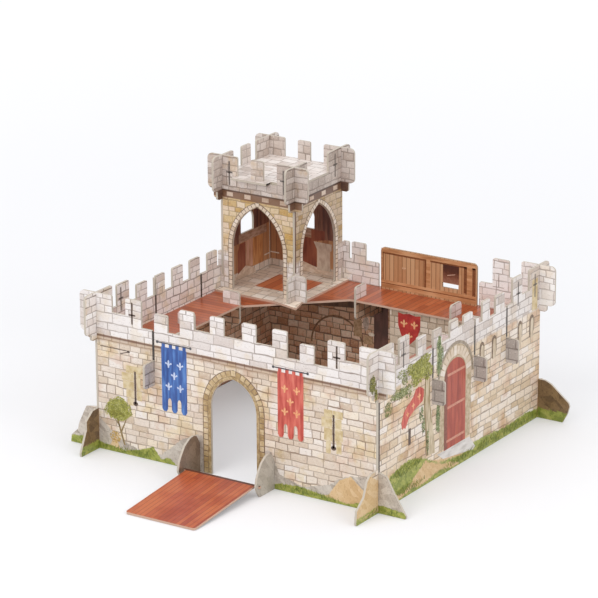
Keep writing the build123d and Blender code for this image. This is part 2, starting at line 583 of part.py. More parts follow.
# Gate fins, each with a tab through the front wall and a round hole for the drawbridge
wall_face_y = -HALF_DEPTH - HALF_CARD
hinge_y = wall_face_y - HINGE_OUT
fin_names = ["gate_fin_left", "gate_fin_right"]
for name, place, fin_reach, fin_height in zip(fin_names, fin_places, FIN_REACHES, FIN_HEIGHTS):
    points = [(wall_face_y - out * fin_reach, up * fin_height) for out, up in FIN_SHARES]
    face = shape(points)
    face = face + block(wall_face_y, -HALF_DEPTH + HALF_CARD + FIN_TAB_BEHIND, FIN_TAB_LOW, FIN_TAB_HIGH)
    face = face - Pos(hinge_y, HINGE_Z) * Circle(PIN_RADIUS + HINGE_CLEARANCE)
    pieces[name] = along(face, place)

# Drawbridge: one plank card with an ear on each side that turns in the hole of a fin
half_bridge = BRIDGE_WIDTH / 2
reach = math.hypot(BRIDGE_LENGTH, HALF_CARD)
slope = math.degrees(math.asin(HINGE_Z / reach) - math.atan2(HALF_CARD, BRIDGE_LENGTH))
bridge_face = block(-half_bridge, half_bridge, -BRIDGE_LENGTH, BRIDGE_BEHIND)
far_corners = [(-half_bridge, -BRIDGE_LENGTH), (half_bridge, -BRIDGE_LENGTH)]
bridge_face = rounded(bridge_face, far_corners, BRIDGE_ROUND)
bridge = lying(bridge_face, -HALF_CARD)
pin_end = FIN_SPREAD + HALF_CARD + PIN_PAST_FIN
pin = Rot(0, 90, 0) * Cylinder(PIN_RADIUS, pin_end + pin_end)
bridge = bridge + (pin & Box(pin_end + pin_end, CARD + CARD, CARD))
pieces["drawbridge"] = Pos(BRIDGE_SHIFT, hinge_y, HINGE_Z) * (Rot(slope, 0, 0) * bridge)

os.makedirs("parts", exist_ok=True)
for name, piece in pieces.items():
    export_step(piece, "parts/" + name + ".step")
    box = piece.bounding_box()
    print(name, len(piece.solids()), [round(value, 1) for value in (*box.min, *box.max)])
print("slope of the drawbridge", round(slope, 3))
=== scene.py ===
# %% [markdown]
# # A slot-together card castle
# The real toy is a pack of thick grey cards. Each card has a stone or plank picture printed on both
# faces, and the cut edges stay bare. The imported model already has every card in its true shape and
# place, so this lesson keeps those cards, gives each one its own printed finish, and lays the finer
# parts of the print (banners, slits, arch stones, leaves, the door) on them as very thin sheets.

# %% Load the cards
import bpy
import bmesh
import math
import random
from mathutils import Matrix, Vector


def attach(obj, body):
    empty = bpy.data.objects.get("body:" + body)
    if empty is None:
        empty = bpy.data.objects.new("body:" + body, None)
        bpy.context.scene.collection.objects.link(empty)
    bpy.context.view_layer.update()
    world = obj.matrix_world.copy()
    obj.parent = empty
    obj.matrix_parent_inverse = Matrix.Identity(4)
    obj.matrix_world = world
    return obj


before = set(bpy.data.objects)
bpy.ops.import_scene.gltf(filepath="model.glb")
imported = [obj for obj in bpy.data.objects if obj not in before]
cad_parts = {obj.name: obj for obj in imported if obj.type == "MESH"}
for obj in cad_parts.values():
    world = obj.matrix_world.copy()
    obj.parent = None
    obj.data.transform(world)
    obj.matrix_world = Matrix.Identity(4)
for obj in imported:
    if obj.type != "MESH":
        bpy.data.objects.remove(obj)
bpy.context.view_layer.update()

MM = 0.001

# %% [markdown]
# ## The camera
# The photo was taken with a long lens, a little above the battlements and to the right of the gate.
# The view was worked out from the square corners of the walls: a turn of 33 degrees, a downward tilt
# of 18 degrees, and a hair of roll. A camera is placed by writing its right, up and back directions
# into one matrix, which keeps the roll exact.

# %% Camera
VIEW_TURN = math.radians(33.05)
VIEW_TILT = math.radians(18.307)
VIEW_ROLL = math.radians(-0.326)
CAMERA_AT = Vector((2.3434, -3.6549, 1.6313))
LENS = 200.3

looking = Vector((-math.sin(VIEW_TURN) * math.cos(VIEW_TILT), math.cos(VIEW_TURN) * math.cos(VIEW_TILT),
                  -math.sin(VIEW_TILT)))
level = Vector((math.cos(VIEW_TURN), math.sin(VIEW_TURN), 0))
rising = level.cross(looking)
right = level * math.cos(VIEW_ROLL) + rising * math.sin(VIEW_ROLL)
up = rising * math.cos(VIEW_ROLL) - level * math.sin(VIEW_ROLL)
camera_data = bpy.data.cameras.new("camera")
camera_data.lens = LENS
camera_data.sensor_width = 36
camera = bpy.data.objects.new("camera", camera_data)
bpy.context.scene.collection.objects.link(camera)
turned = Matrix((right, up, -looking)).transposed().to_4x4()
camera.matrix_world = Matrix.Translation(CAMERA_AT) @ turned
bpy.context.scene.camera = camera
print("camera looks along", [round(value, 3) for value in looking])

# %% [markdown]
# ## Node helpers
# A print is a pattern, so it is best made from nodes. Written out one by one they would fill pages,
# so a small class lets a sum be written as a sum: adding or multiplying a flow puts a Math node into
# its tree. A few helpers do the rest. They fade between two values, mix two colours, roll a random
# number for a cell, or pick a colour from a row of shades. Shades are hex codes, as a painter would
# mix them, and `tint` turns them into Blender's linear light.

# %% Node helpers
class Flow:
    """A value that runs through a node tree; sums with it add Math nodes to that tree."""

    def __init__(self, socket):
        self.socket = socket
        self.tree = socket.id_data

    def __add__(self, other):
        return calc("ADD", self, other)

    def __sub__(self, other):
        return calc("SUBTRACT", self, other)

    def __rsub__(self, other):
        return calc("SUBTRACT", other, self)

    def __mul__(self, other):
        return calc("MULTIPLY", self, other)

    def __truediv__(self, other):
        return calc("DIVIDE", self, other)


def tint(code):
    parts = [int(code[i:i + 2], 16) / 255 for i in (0, 2, 4)]
    return tuple(p / 12.92 if p <= 0.04045 else ((p + 0.055) / 1.055) ** 2.4 for p in parts) + (1.0,)


def add(tree, kind, inputs=None, **settings):
    is_shader = not kind.startswith(("Geometry", "Function", "Node"))
    node = tree.nodes.new("ShaderNode" + kind if is_shader else kind)
    for key, value in settings.items():
        setattr(node, key, value)
    for key, value in (inputs or {}).items():
        value = getattr(value, "socket", value)
        if isinstance(value, bpy.types.NodeSocket):
            tree.links.new(value, node.inputs[key])
        else:
            node.inputs[key].default_value = value
    return node


def tree_of(*values):
    return next(value.tree for value in values if isinstance(value, Flow))


def calc(operation, *values):
    node = add(tree_of(*values), "Math", dict(enumerate(values)), operation=operation)
    return Flow(node.outputs[0])


def triple(x, y, z):
    return Flow(add(tree_of(x, y, z), "CombineXYZ", {0: x, 1: y, 2: z}).outputs[0])


def split(socket, kind="SeparateColor"):
    value = Flow(socket)
    return [Flow(part) for part in add(value.tree, kind, {0: value}).outputs]


def fade(value, low, high):
    inputs = {"Value": value, "From Min": low, "From Max": high}
    return Flow(add(value.tree, "MapRange", inputs, interpolation_type="SMOOTHSTEP").outputs[0])


def mix(factor, below, above, blend="MIX"):
    inputs = {0: factor, 6: below, 7: above}
    return Flow(add(below.tree, "Mix", inputs, data_type="RGBA", blend_type=blend).outputs[2])


def between(mask, low, high):
    return low * (1.0 - mask) + high * mask


def shades(value, codes):
    node = add(value.tree, "ValToRGB", {0: value})
    stops = node.color_ramp.elements
    while len(stops) < len(codes):
        stops.new(0.5)
    for k, code in enumerate(codes):
        stops[k].position = k / (len(codes) - 1)
        stops[k].color = tint(code)
    return Flow(node.outputs[0])


def noise(place, scale, detail=3.0, rough=0.5):
    inputs = {"Vector": place, "Scale": scale, "Detail": detail, "Roughness": rough}
    return Flow(add(place.tree, "TexNoise", inputs).outputs[0])


def dice(x, y, z):
    return add(tree_of(x, y, z), "TexWhiteNoise", {"Vector": triple(x, y, z)}, noise_dimensions="3D").outputs


print("helpers ready")

# %% [markdown]
# ## Painted stone courses
# The printed walls show rough stones in courses: no two courses have the same height, each course
# starts its stones somewhere else, and a few joints almost vanish. The Brick Texture node is too even
# for that, so a node group works out the courses itself. It bends the height a little, numbers the
# courses and the stones with Floor, and gives every stone its own random tone. Lengths are in
# millimetres.

# %% Stone course group
BEND, SLIDE, CHIP = 3.6, 4.5, 1.2


def to_edge(share):
    return calc("MINIMUM", share, 1.0 - share)


def stone_course_group():
    tree = bpy.data.node_groups.new("stone courses", "ShaderNodeTree")
    for name in ("Along", "Up", "Course", "Length", "Joint", "Seed"):
        tree.interface.new_socket(name, in_out="INPUT", socket_type="NodeSocketFloat")
    for name in ("Joint", "Tone", "Second Tone", "Inside"):
        tree.interface.new_socket(name, in_out="OUTPUT", socket_type="NodeSocketFloat")
    given = add(tree, "NodeGroupInput").outputs
    along, up, course, length, joint, seed = [Flow(socket) for socket in given[:6]]
    sway = add(tree, "TexNoise", {"Vector": triple(along, up, seed * 31.7), "Scale": 0.045, "Detail": 2.0})
    bend, slide, chip = split(sway.outputs[1])
    wave = calc("SINE", up / (course * 0.62))
    rows = (wave * (course * 0.16) + up + (bend - 0.5) * BEND) / course
    row = calc("FLOOR", rows)
    in_row = rows - row
    start = Flow(dice(row, seed, 3.0)[0])
    row_length = length * (start * 0.75 + 0.65)
    columns = start * 57.0 + (along + (slide - 0.5) * SLIDE) / row_length
    column = calc("FLOOR", columns)
    tone, second_tone, weight = split(dice(column, row, seed)[1])
    gap = calc("MINIMUM", to_edge(columns - column) * row_length, to_edge(in_row) * course)
    mask = 1.0 - fade(gap + (chip - 0.5) * CHIP, joint * 0.35, joint)
    add(tree, "NodeGroupOutput", {0: mask * (weight * 0.58 + 0.42), 1: tone, 2: second_tone, 3: in_row})
    return tree


STONE_COURSES = stone_course_group()
print("stone course group has", len(STONE_COURSES.nodes), "nodes")

# %% [markdown]
# ## Layers of print
# Each printed face is a stack of layers, as a printer would lay them: stones first, then bands, rock
# and grass along the foot. A layer is a small function that takes the place on the card in millimetres
# and returns a colour and a relief. `both` puts one layer under and one above a level, `stained` adds
# soft spots, `strip` adds a band, and `under_line` covers everything below a given profile, which
# a Float Curve stores, so the top of the rocks and grass can follow the picture on the card.

# %% Layers
def stones(codes, joint_code, course=9.5, length=19.0, joint=0.95, seed=1.0, wash=0.12, pen=0.5):
    def draw(u, v):
        inputs = {"Along": u, "Up": v, "Course": course, "Length": length, "Joint": joint, "Seed": seed}
        group = add(u.tree, "Group", inputs, node_tree=STONE_COURSES).outputs
        joints, tone, second, inside = [Flow(socket) for socket in group]
        mottle = noise(triple(u, v, seed * 9.0), 0.28, 4.0, 0.6)
        light = (mottle - 0.5) * (wash * 3.4) + 0.5 + (inside - 0.5) * (wash * 0.7) + (second - 0.5) * wash
        grey = add(u.tree, "CombineColor", {0: light, 1: light, 2: light}).outputs[0]
        colour = mix(1.0, shades(tone, codes), grey, "SOFT_LIGHT")
        strokes = fade(noise(triple(u * 0.35, v, seed * 3.0), 0.75, 4.0, 0.7), 0.56, 0.7)
        glints = fade(noise(triple(u, v, seed * 5.0 + 40), 0.5, 3.0, 0.6), 0.58, 0.72)
        colour = mix(strokes * pen, colour, tint(joint_code), "MULTIPLY")
        colour = mix(glints * pen, colour, tint("fffaf2"))
        return mix(joints, colour, tint(joint_code)), mottle - joints
    return draw


def boards(codes, gap_code, width=12.0, turned=False, seed=1.0, gap=0.5, length=400.0):
    def draw(u, v):
        across, along = (v, u) if turned else (u, v)
        number = (noise(triple(across, along * 0.06, seed * 13.0), 0.06, 1.0) * 2.0 + across) / width
        board = calc("FLOOR", number)
        piece = calc("FLOOR", Flow(dice(board, seed, 5.0)[0]) * 7.0 + along / length)
        tone = Flow(dice(board, piece, seed)[0])
        grain = noise(triple(board * 17.0 + across, along * 0.08, tone), 0.9, 5.0, 0.62)
        line = 1.0 - fade(to_edge(number - board) * width, gap * 0.4, gap * 1.6)
        colour = shades(tone * 0.55 + grain * 0.5, codes)
        return mix(line * 0.8, colour, tint(gap_code)), grain - line
    return draw


def rock(codes, seed=1.0, scale=0.07):
    def draw(u, v):
        slanted = u * 0.5 + v
        place = triple(slanted * 1.6, u - v * 0.4, seed * 7.0)
        facets = add(u.tree, "TexVoronoi", {"Vector": place, "Scale": scale}, feature="F1")
        lump = noise(place, scale * 3.0, 5.0, 0.6)
        colour = shades(split(facets.outputs[1])[0] * 0.5 + lump * 0.6, codes)
        streaks = fade(noise(triple(slanted * 0.5, u, seed * 4.0), 0.5, 4.0, 0.65), 0.55, 0.66)
        return mix(streaks * 0.55, colour, tint(codes[0]), "MULTIPLY"), lump - streaks
    return draw


def both(low_layer, high_layer, edge, soft=0.8, axis="v"):
    def draw(u, v):
        mask = fade(v if axis == "v" else u, edge - soft, edge + soft)
        low, low_relief = low_layer(u, v)
        high, high_relief = high_layer(u, v)
        return mix(mask, low, high), between(mask, low_relief, high_relief)
    return draw


def stained(layer, code, scale=0.025, strength=0.4, seed=1.0):
    def draw(u, v):
        colour, relief = layer(u, v)
        spots = fade(noise(triple(u, v, seed * 6.0), scale, 3.0, 0.55), 0.5, 0.66)
        return mix(spots * strength, colour, tint(code), "MULTIPLY"), relief
    return draw


def strip(layer, code, low, high, soft=0.5, strength=1.0):
    def draw(u, v):
        colour, relief = layer(u, v)
        mask = fade(v, low - soft, low + soft) * (1.0 - fade(v, high - soft, high + soft))
        return mix(mask * strength, colour, tint(code)), relief
    return draw


def under_line(layer, cover, line, ragged=4.0, soft=0.8, seed=1.0):
    def draw(u, v):
        colour, relief = layer(u, v)
        first, last = line[0][0], line[-1][0]
        node = add(u.tree, "FloatCurve", {"Value": (u - first) / (last - first)})
        curve = node.mapping.curves[0]
        while len(curve.points) < len(line):
            curve.points.new(0.5, 0.5)
        for point, (place, height) in zip(curve.points, line):
            point.location = ((place - first) / (last - first), height / 100)
            point.handle_type = "VECTOR"
        node.mapping.update()
        rough = noise(triple(u, v, seed * 5.0), 0.22, 3.0)
        height = (rough - 0.5) * (ragged * 2.0) + Flow(node.outputs[0]) * 100.0
        return mix(fade(height - v, -soft, soft), colour, cover(u, v)[0]), relief
    return draw


print("layers ready")

# %% [markdown]
# ## From layers to a card
# A card needs three looks at once: the print on one face, the print on the other, and the bare
# greyboard of the cut edge. The object-space normal tells which one a point belongs to, and it stays
# right when the drawbridge swings. The varnish is satin, with a very fine paper relief. The greyboard
# is matt and shows its pressed layers as faint lines that run parallel to the faces.

# %% Card finish
EDGE_CODES = ("a99f92", "c4baab", "d3cabb")
FACE_LIMIT = 0.7


def new_material(name):
    material = bpy.data.materials.new(name)
    material.use_nodes = True
    material.node_tree.nodes.clear()
    return material, material.node_tree


def varnish(tree, colour, rough, relief, depth, strength, coat=0.12):
    bump = add(tree, "Bump", {"Height": relief, "Distance": depth, "Strength": strength}).outputs[0]
    shader = add(tree, "BsdfPrincipled", {"Base Color": colour, "Roughness": rough, "Normal": bump,
                                          "Coat Weight": coat, "Coat Roughness": 0.3})
    add(tree, "OutputMaterial", {0: shader.outputs[0]})


def card_finish(name, axis, minus_layer, plus_layer, edge_codes=EDGE_CODES, gloss=0.42, coat=0.12):
    material, tree = new_material(name)
    where = add(tree, "TexCoord").outputs
    large = Flow(add(tree, "VectorMath", {0: where["Object"], 3: 1 / MM}, operation="SCALE").outputs[0])
    x, y, z = split(large.socket, "SeparateXYZ")
    facing = split(where["Normal"], "SeparateXYZ")["XYZ".index(axis)]
    u, v, through = {"X": (y, z, x), "Y": (x, z, y), "Z": (x, y, z)}[axis]
    minus, minus_relief = minus_layer(u, v)
    plus, plus_relief = plus_layer(u, v) if plus_layer is not minus_layer else (minus, minus_relief)
    side = calc("GREATER_THAN", facing, 0.0)
    on_edge = calc("LESS_THAN", calc("ABSOLUTE", facing), FACE_LIMIT)
    pressed = noise(triple(through * 6.0, u * 0.25, v * 0.25), 0.9, 3.0, 0.6)
    colour = mix(on_edge, mix(side, minus, plus), shades(pressed, edge_codes))
    fibre = noise(large, 2.2, 3.0, 0.55)
    relief = between(side, minus_relief, plus_relief) * 0.35 + fibre
    rough = on_edge * 0.4 + (fibre * 0.12 + (gloss - 0.06))
    varnish(tree, colour, rough, relief, 0.06 * MM, 0.6, coat)
    return material


print("card finish ready")

# %% [markdown]
# ## Pictures on the walls
# Now each card gets its own stack. The colours were matched to the photo wall by wall: the
# battlement is almost white, the outer walls are beige, the inner walls under the walkway are brown
# and shaded, and the rock feet are grey with brown and green at the ground. The palettes come first,
# then the levels at which one print ends and the next begins.

# %% Palettes and levels
PALE = ("d6cac3", "e3dbd6", "e9e2de", "f2edea", "efe9e6")
# SIDE_PALE is PALE in darker shades for the walls that face sideways: painted shade.
SIDE_PALE = ("c9bbb1", "d8ccc3", "e2d9d2", "ece5e0", "e6ddd7")
LIGHT = ("dccdc4", "e9dfd8", "f2ebe6", "f8f4f1", "efe6e0")
PALEST = ("e8dcd5", "f3ece7", "faf6f3", "fffdfb", "f6f0ec")
SHADED_PALE = ("b9a79b", "cdbfb5", "d5c9c1", "dfd4cc")
BEIGE = ("d2bfa9", "e2d3c3", "e6d9cc", "ecdcc4", "eee6df")
WARM = ("d2bb9b", "e4cfb3", "ead8c2", "eedfcd", "f0e6dc")
MAUVE = ("cbb7ab", "dccbc1", "e6d9d1", "ede3dc")
BROWN = ("bc8864", "daa884", "e8be9e", "f0d0b6", "d09f7a")
TOWER = ("c9a45f", "d6bd8e", "dfcaa8", "e3cfb6", "dfc7ac")
GREY = ("b3a9a3", "beb4ae", "c9c0ba")
JOINT = "8c7561"
FINE_JOINT = "94857c"
GRASS = ("55661f", "7f8a34", "a2a84c", "c6ba68")
ROCK = ("8d7f70", "b0a497", "cbc1b5", "dcd4c9")
SAND = ("c39b67", "d9b888", "e6cba3")

WALK_LEVEL, SKIRT_TOP, RIGHT_LIGHT_FROM = 148.0, 150.0, 110.0
FRONT_PARAPET, SIDE_PARAPET = 167.5, 162.0
FOOT_FROM, BACK_FOOT_FROM = 215.0, 227.0


def framed(rim, layer, start, end, soft=0.3, axis="u"):
    return both(both(rim, layer, start, soft, axis), rim, end, soft, axis)

print("palettes mixed, levels set")

# %% [markdown]
# ## Front wall
# Beige stones below, almost white ones on the parapet, and a brown band with a dark line between them.
# Rock, sand and grass follow three profiles along the foot. The brown rock for the inner ends of the
# other walls is mixed here too.

# %% Front wall
outer_front = stained(stained(stones(BEIGE, JOINT, seed=1.0), "f0e2b4", 0.03, 0.6, 1.0), "e8cdbd", 0.035, 0.5,
    2.0)
outer_front = both(outer_front, stained(stones(PALE, FINE_JOINT, 11.0, 25.0, 1.0, 2.0), "f2e6cc", 0.04, 0.4,
    1.0), FRONT_PARAPET)
outer_front = strip(outer_front, "a58468", 158.0, 164.5, 1.5, 0.5)
outer_front = strip(outer_front, "6f4a33", 163.8, 167.0, 0.8, 0.9)
outer_front = under_line(outer_front, rock(ROCK, 1.0), ((-275, 60), (-235, 58), (-222, 46), (-195, 24),
    (-168, 14), (-140, 9), (-118, 12), (-85, 40), (-60, 52), (60, 52), (72, 22), (110, 12), (150, 24),
    (175, 40), (205, 46), (225, 58), (275, 60)), 3.0, 0.8, 1.0)
outer_front = under_line(outer_front, rock(SAND, 3.0), ((-275, 0), (-210, 0), (-196, 26), (-186, 0), (120, 0),
    (150, 10), (166, 33), (184, 42), (205, 26), (240, 0), (275, 0)), 2.0)
outer_front = under_line(outer_front, rock(GRASS, 2.0, 0.2), ((-275, 10), (-240, 14), (-210, 8), (-180, 5),
    (-150, 13), (-132, 20), (-120, 4), (-106, 10), (-95, 0), (50, 0), (70, 9), (100, 12), (150, 6), (180, 3),
    (215, 12), (275, 8)), 3.0)
foot_brown = rock(("48341f", "695033", "876b46", "957a55"), 11.0)
foot_brown = under_line(foot_brown, rock(GRASS, 12.0, 0.15), ((-275, 12), (0, 16), (275, 14)), 6.0)
inner_front = stones(MAUVE, "7d6c60", seed=4.0)
front_finish = card_finish("front wall print", "Y", outer_front, inner_front)
print("front wall has its print")

# %% [markdown]
# ## Right wall
# The stones are warmer here, and sand and grass lie over each other along the foot, with soft edges.

# %% Right wall
outer_right = stained(stained(stones(WARM, JOINT, 9.0, 21.0, 1.0, 5.0), "efdcb0", 0.028, 0.6, 3.0), "dcc0ac",
    0.03, 0.6, 4.0)
outer_right = both(outer_right, stained(stones(SIDE_PALE, FINE_JOINT, 11.0, 25.0, 1.0, 6.0), "ecdcc0", 0.03,
    0.4, 3.0), SIDE_PARAPET, 2.5)
outer_right = under_line(outer_right, rock(SAND, 4.0), ((-275, 60), (-235, 58), (-215, 46), (-180, 44),
    (-120, 36), (-80, 30), (-50, 22), (0, 18), (30, 12), (275, 12)), 2.0)
outer_right = under_line(outer_right, rock(GRASS, 5.0, 0.15), ((-275, 8), (-215, 10), (-185, 42), (-140, 50),
    (-100, 40), (-60, 20), (0, 12), (30, 20), (60, 19), (120, 14), (180, 17), (230, 10), (275, 12)), 4.0, 1.4)
outer_right = under_line(outer_right, rock(SAND, 24.0, 0.1), ((-275, 5), (-226, 6), (-205, 20), (-180, 12),
    (-150, 6), (-120, 22), (-96, 34), (-78, 26), (-50, 16), (-20, 8), (0, 0), (275, 0)), 5.0, 1.4)
outer_right = under_line(outer_right, rock(GRASS, 25.0, 0.2), ((-275, 6), (-215, 3), (-190, 8), (-165, 2),
    (-130, 6), (-100, 3), (-60, 9), (-20, 2), (275, 4)), 4.0, 1.2)
inner_right = stones(MAUVE, "7d6c60", seed=7.0)
inner_right = both(both(rock(SAND, 13.0), inner_right, -FOOT_FROM, 0.3, "u"), foot_brown, FOOT_FROM, 0.3, "u")
inner_right = both(inner_right, stones(LIGHT, FINE_JOINT, 11.0, 24.0, 1.0, 7.0), RIGHT_LIGHT_FROM)
right_finish = card_finish("right wall print", "X", inner_right, outer_right)
print("right wall has its print")

# %% [markdown]
# ## Back and left walls
# Seen from the courtyard, both are brown under the walkway and light above it. Their outer faces are
# not in the photo, so they get plain stones with a pale parapet and grass at the foot.

# %% Back and left walls
low_brown = stones(BROWN, "5a3c2a", 10.0, 17.0, 1.1, 8.0, 0.3)
back_inside = both(low_brown, stones(PALE, FINE_JOINT, 10.5, 22.0, 1.0, 9.0), WALK_LEVEL)
back_outside = both(stones(WARM, JOINT, seed=10.0), stones(PALE, FINE_JOINT, 11.0, 25.0, 1.0, 11.0),
    SIDE_PARAPET, 2.0)
back_outside = under_line(back_outside, rock(GRASS, 6.0, 0.15), ((-275, 12), (-120, 9), (0, 16), (140, 10),
    (275, 14)), 4.0)
back_inside = framed(foot_brown, back_inside, -BACK_FOOT_FROM, BACK_FOOT_FROM)
back_inside = both(back_inside, stained(stones(PALEST, "a3968e", 10.5, 22.0, 1.0, 9.0), "efdcb8", 0.03, 0.3,
    6.0), SKIRT_TOP)
back_finish = card_finish("back wall print", "Y", back_inside, back_outside)

left_top = stained(stones(LIGHT, "85756a", 10.0, 21.0, 1.0, 12.0, 0.16, 0.5), "eadcb4", 0.03, 0.5, 5.0)
left_inside = both(low_brown, left_top, WALK_LEVEL)
left_inside = framed(foot_brown, left_inside, -FOOT_FROM, FOOT_FROM)
left_inside = both(left_inside, left_top, SKIRT_TOP)
left_finish = card_finish("left wall print", "X", back_outside, left_inside)
print("back and left walls have their prints")

# %% [markdown]
# ## Tower prints
# The tower is pale at its foot and yellowish above. A brown band and a dark line lie under the
# battlement, which is greyer. The right wall has the same print in darker shades, which is painted
# shade for the side wall, so one helper makes both. The inner faces show stone low down, wooden boards
# above and a dark ceiling.

# %% Tower finishes
YELLOW_FROM, BATTLEMENT, CEILING, WAINSCOT = 206.0, 297.5, 283.0, 162.0


def tower_print(low, middle, top, band_code, line_code):
    face = both(stones(*low, 10.0, 20.0, 1.0, 13.0), stones(*middle, 8.6, 17.0, 1.0, 14.0), YELLOW_FROM, 6.0)
    face = both(face, stones(*top, 10.5, 22.0, 1.0, 15.0), BATTLEMENT)
    return strip(strip(face, band_code, 286.0, 297.0, 0.7, 0.92), line_code, 295.8, 298.0, 0.6, 0.9)


tower_face = tower_print((PALE, "b0a294"), (TOWER, "a0855f"), (SHADED_PALE, "8f7f74"), "7d5a45", "4c3226")
tower_face = stained(tower_face, "ecd3a4", 0.04, 0.5, 7.0)
# The right wall's print in darker shades is painted shade.
tower_side = tower_print((SIDE_PALE, "a09080"), (("ac8748", "b79b6e", "c2a987", "c8b194", "bda387"),
    "80674a"), (("a8988c", "baab9f", "c6b8ad", "d0c4ba"), "7c6c60"), "6c4c3a", "412a20")
tower_boards = boards(("8a5238", "a8704c", "c08a60", "cfa47c"), "6a3c28", 9.0, False, 3.0)
tower_inside = both(stones(("cdb9a8", "ddcabb", "eaddd1"), "94806f", 9.0, 18.0, 1.0, 16.0), tower_boards,
                    WAINSCOT, 1.0)
tower_inside = both(tower_inside, rock(("4d382c", "6b5042", "7d6152"), 14.0), CEILING)
tower_inside = both(tower_inside, stones(SHADED_PALE, "8f7f74", 10.0, 20.0, 1.0, 17.0), BATTLEMENT)
tower_front_finish = card_finish("tower front print", "Y", tower_face, tower_inside)
tower_back_finish = card_finish("tower back print", "Y", tower_inside, tower_face)
tower_right_finish = card_finish("tower right print", "X", tower_inside, tower_side)
tower_left_finish = card_finish("tower left print", "X", tower_face, tower_inside)
roof_stone = stones(("c8bab0", "dccfc7", "e6dbd4", "f0e8e2"), "9a8b80", 13.0, 20.0, 1.0, 18.0)
roof_finish = card_finish("tower roof print", "Z", roof_stone, roof_stone)
print("tower has its prints")

# %% [markdown]
# ## Walkway, drawbridge and small cards
# The walkway, the drawbridge and the collar are printed as red planks, with darker planks on the side
# that nobody sees. Their cut edges are pinker than the others. The collar has a border of pale stones.

# %% Walkway, drawbridge and small cards
UNDERSIDE = boards(("4b2f20", "5f3d29", "704a33"), "2d1b12", 14.0, False, 3.0)
PINK_EDGE = ("b39280", "cdab95", "dcbda8")
RED = ("83381c", "a14b26", "b55a30", "c47148")
walk_top = both(boards(RED, "5f2816", 9.0, True, 1.0), boards(RED, "5f2816", 9.0, False, 2.0), 141.0, 0.5)
walk_finish = card_finish("walkway print", "Z", UNDERSIDE, walk_top, PINK_EDGE, 0.3, 0.3)
border = stones(("e4d0ba", "f2e0cd", "faeee0"), "a5907a", 14.0, 18.0, 1.2, 19.0)
collar_planks = boards(("a85233", "c26640", "d2784c", "de8c60"), "7a3a24", 12.0, False, 4.0)
collar_top = framed(border, framed(border, collar_planks, -183.0, -107.0, 0.6), 112.0, 176.0, 0.6, "v")
collar_finish = card_finish("collar print", "Z", UNDERSIDE, collar_top, PINK_EDGE, 0.34, 0.25)
bridge_top = boards(("994529", "a94e2f", "b65935", "c1683d", "b45636"), "7a3520", 7.0, False, 5.0, 0.4)
bridge_top = stained(stained(bridge_top, "e0b070", 0.018, 0.5, 8.0), "d88a74", 0.03, 0.3, 9.0)
# A dark strip across the hinge end of the drawbridge is painted shade.
bridge_top = strip(bridge_top, "3e251c", -254.0, -247.0, 0.5, 0.85)
bridge_finish = card_finish("drawbridge print", "Z", UNDERSIDE, bridge_top, PINK_EDGE, 0.34, 0.2)
plank_face = boards(("a36f48", "bd8a60", "cda077", "c8a880"), "85552f", 7.0, False, 6.0, 0.6)
plank_finish = card_finish("plank front print", "Y", plank_face, plank_face, ("8d6f55", "a88a6c", "b99c80"))
partition_face = stones(("b8a28b", "cdb8a1", "dac8b3", "e6d6c4"), "8a725c", 10.5, 18.0, 1.1, 20.0)
partition_finish = card_finish("partition print", "Y", partition_face, partition_face)
bracket_block = stones(GREY, "70645d", 13.0, 20.0, 1.2, 21.0)
bracket_pale = stones(PALE, "b0a294", 11.0, 18.0, 1.0, 22.0)
fin_brown = rock(("6a5443", "86705c", "a08a75"), 7.0)
fin_grey = rock(("a39a8e", "bdb5a9", "d0c9be"), 9.0)
left_fin_finish = card_finish("left gate fin print", "X", fin_grey, fin_brown)
right_fin_finish = card_finish("right gate fin print", "X", fin_brown, fin_grey)
print("walkway, drawbridge and small cards have their prints")

# %% [markdown]
# ## Dress the cards
# The CAD cards keep their exact shapes. Only their material slots are filled, so nothing moves. The
# brackets stand across a wall: outside it they show as grey blocks, above the walkway as small pale
# merlons, so each bracket's print changes at the wall and at the floor.

# %% Dress the cards
def dress(node, material):
    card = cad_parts[node]
    card = card if hasattr(card, "material_slots") else bpy.data.objects[node]
    if not card.material_slots:
        card.data.materials.append(material)
    for slot in card.material_slots:
        slot.material = material


FINISHES = {"front_wall": front_finish, "right_wall": right_finish, "back_wall": back_finish,
    "left_wall": left_finish, "tower_front": tower_front_finish, "tower_back": tower_back_finish,
    "tower_right": tower_right_finish, "tower_left": tower_left_finish, "tower_roof": roof_finish,
    "tower_collar": collar_finish, "walkway_floor": walk_finish, "drawbridge": bridge_finish,
    "plank_front": plank_finish, "partition": partition_finish, "gate_fin_left": left_fin_finish,
    "gate_fin_right": right_fin_finish}
for node, material in FINISHES.items():
    dress(node, material)
BRACKETS = {"left_bracket_1": ("Y", -226), "left_bracket_2": ("Y", -226), "right_bracket_1": ("Y", 226),
            "right_bracket_2": ("Y", 226), "right_bracket_3": ("Y", 226), "front_bracket": ("X", -214),
            "back_bracket_1": ("X", 214), "back_bracket_2": ("X", 214)}
for node, (axis, wall) in BRACKETS.items():
    inside = both(stones(BROWN, "3d2a1e", 10.0, 17.0, 1.2, 23.0), bracket_pale, WALK_LEVEL)
    low, high = (bracket_block, inside) if wall < 0 else (inside, bracket_block)
    face = both(low, high, float(wall), 0.5, "u")
    dress(node, card_finish(node.replace("_", " ") + " print", axis, face, face))
print("dressed", len(FINISHES) + len(BRACKETS), "cards")

# %% [markdown]
# ## Thin printed sheets
# Banners, slits and doors are crisp shapes in the print. Each is cut as an outline on the face of a
# card and stands out by a fraction of a millimetre, so that it never flickers against the card.
# A table says where each face lies: its origin, the direction along it, the way it looks, and which
# slot of the castle its print belongs to. On a face, u runs along it and v is the height, both in
# millimetres, so the outlines below are plain lists of places.

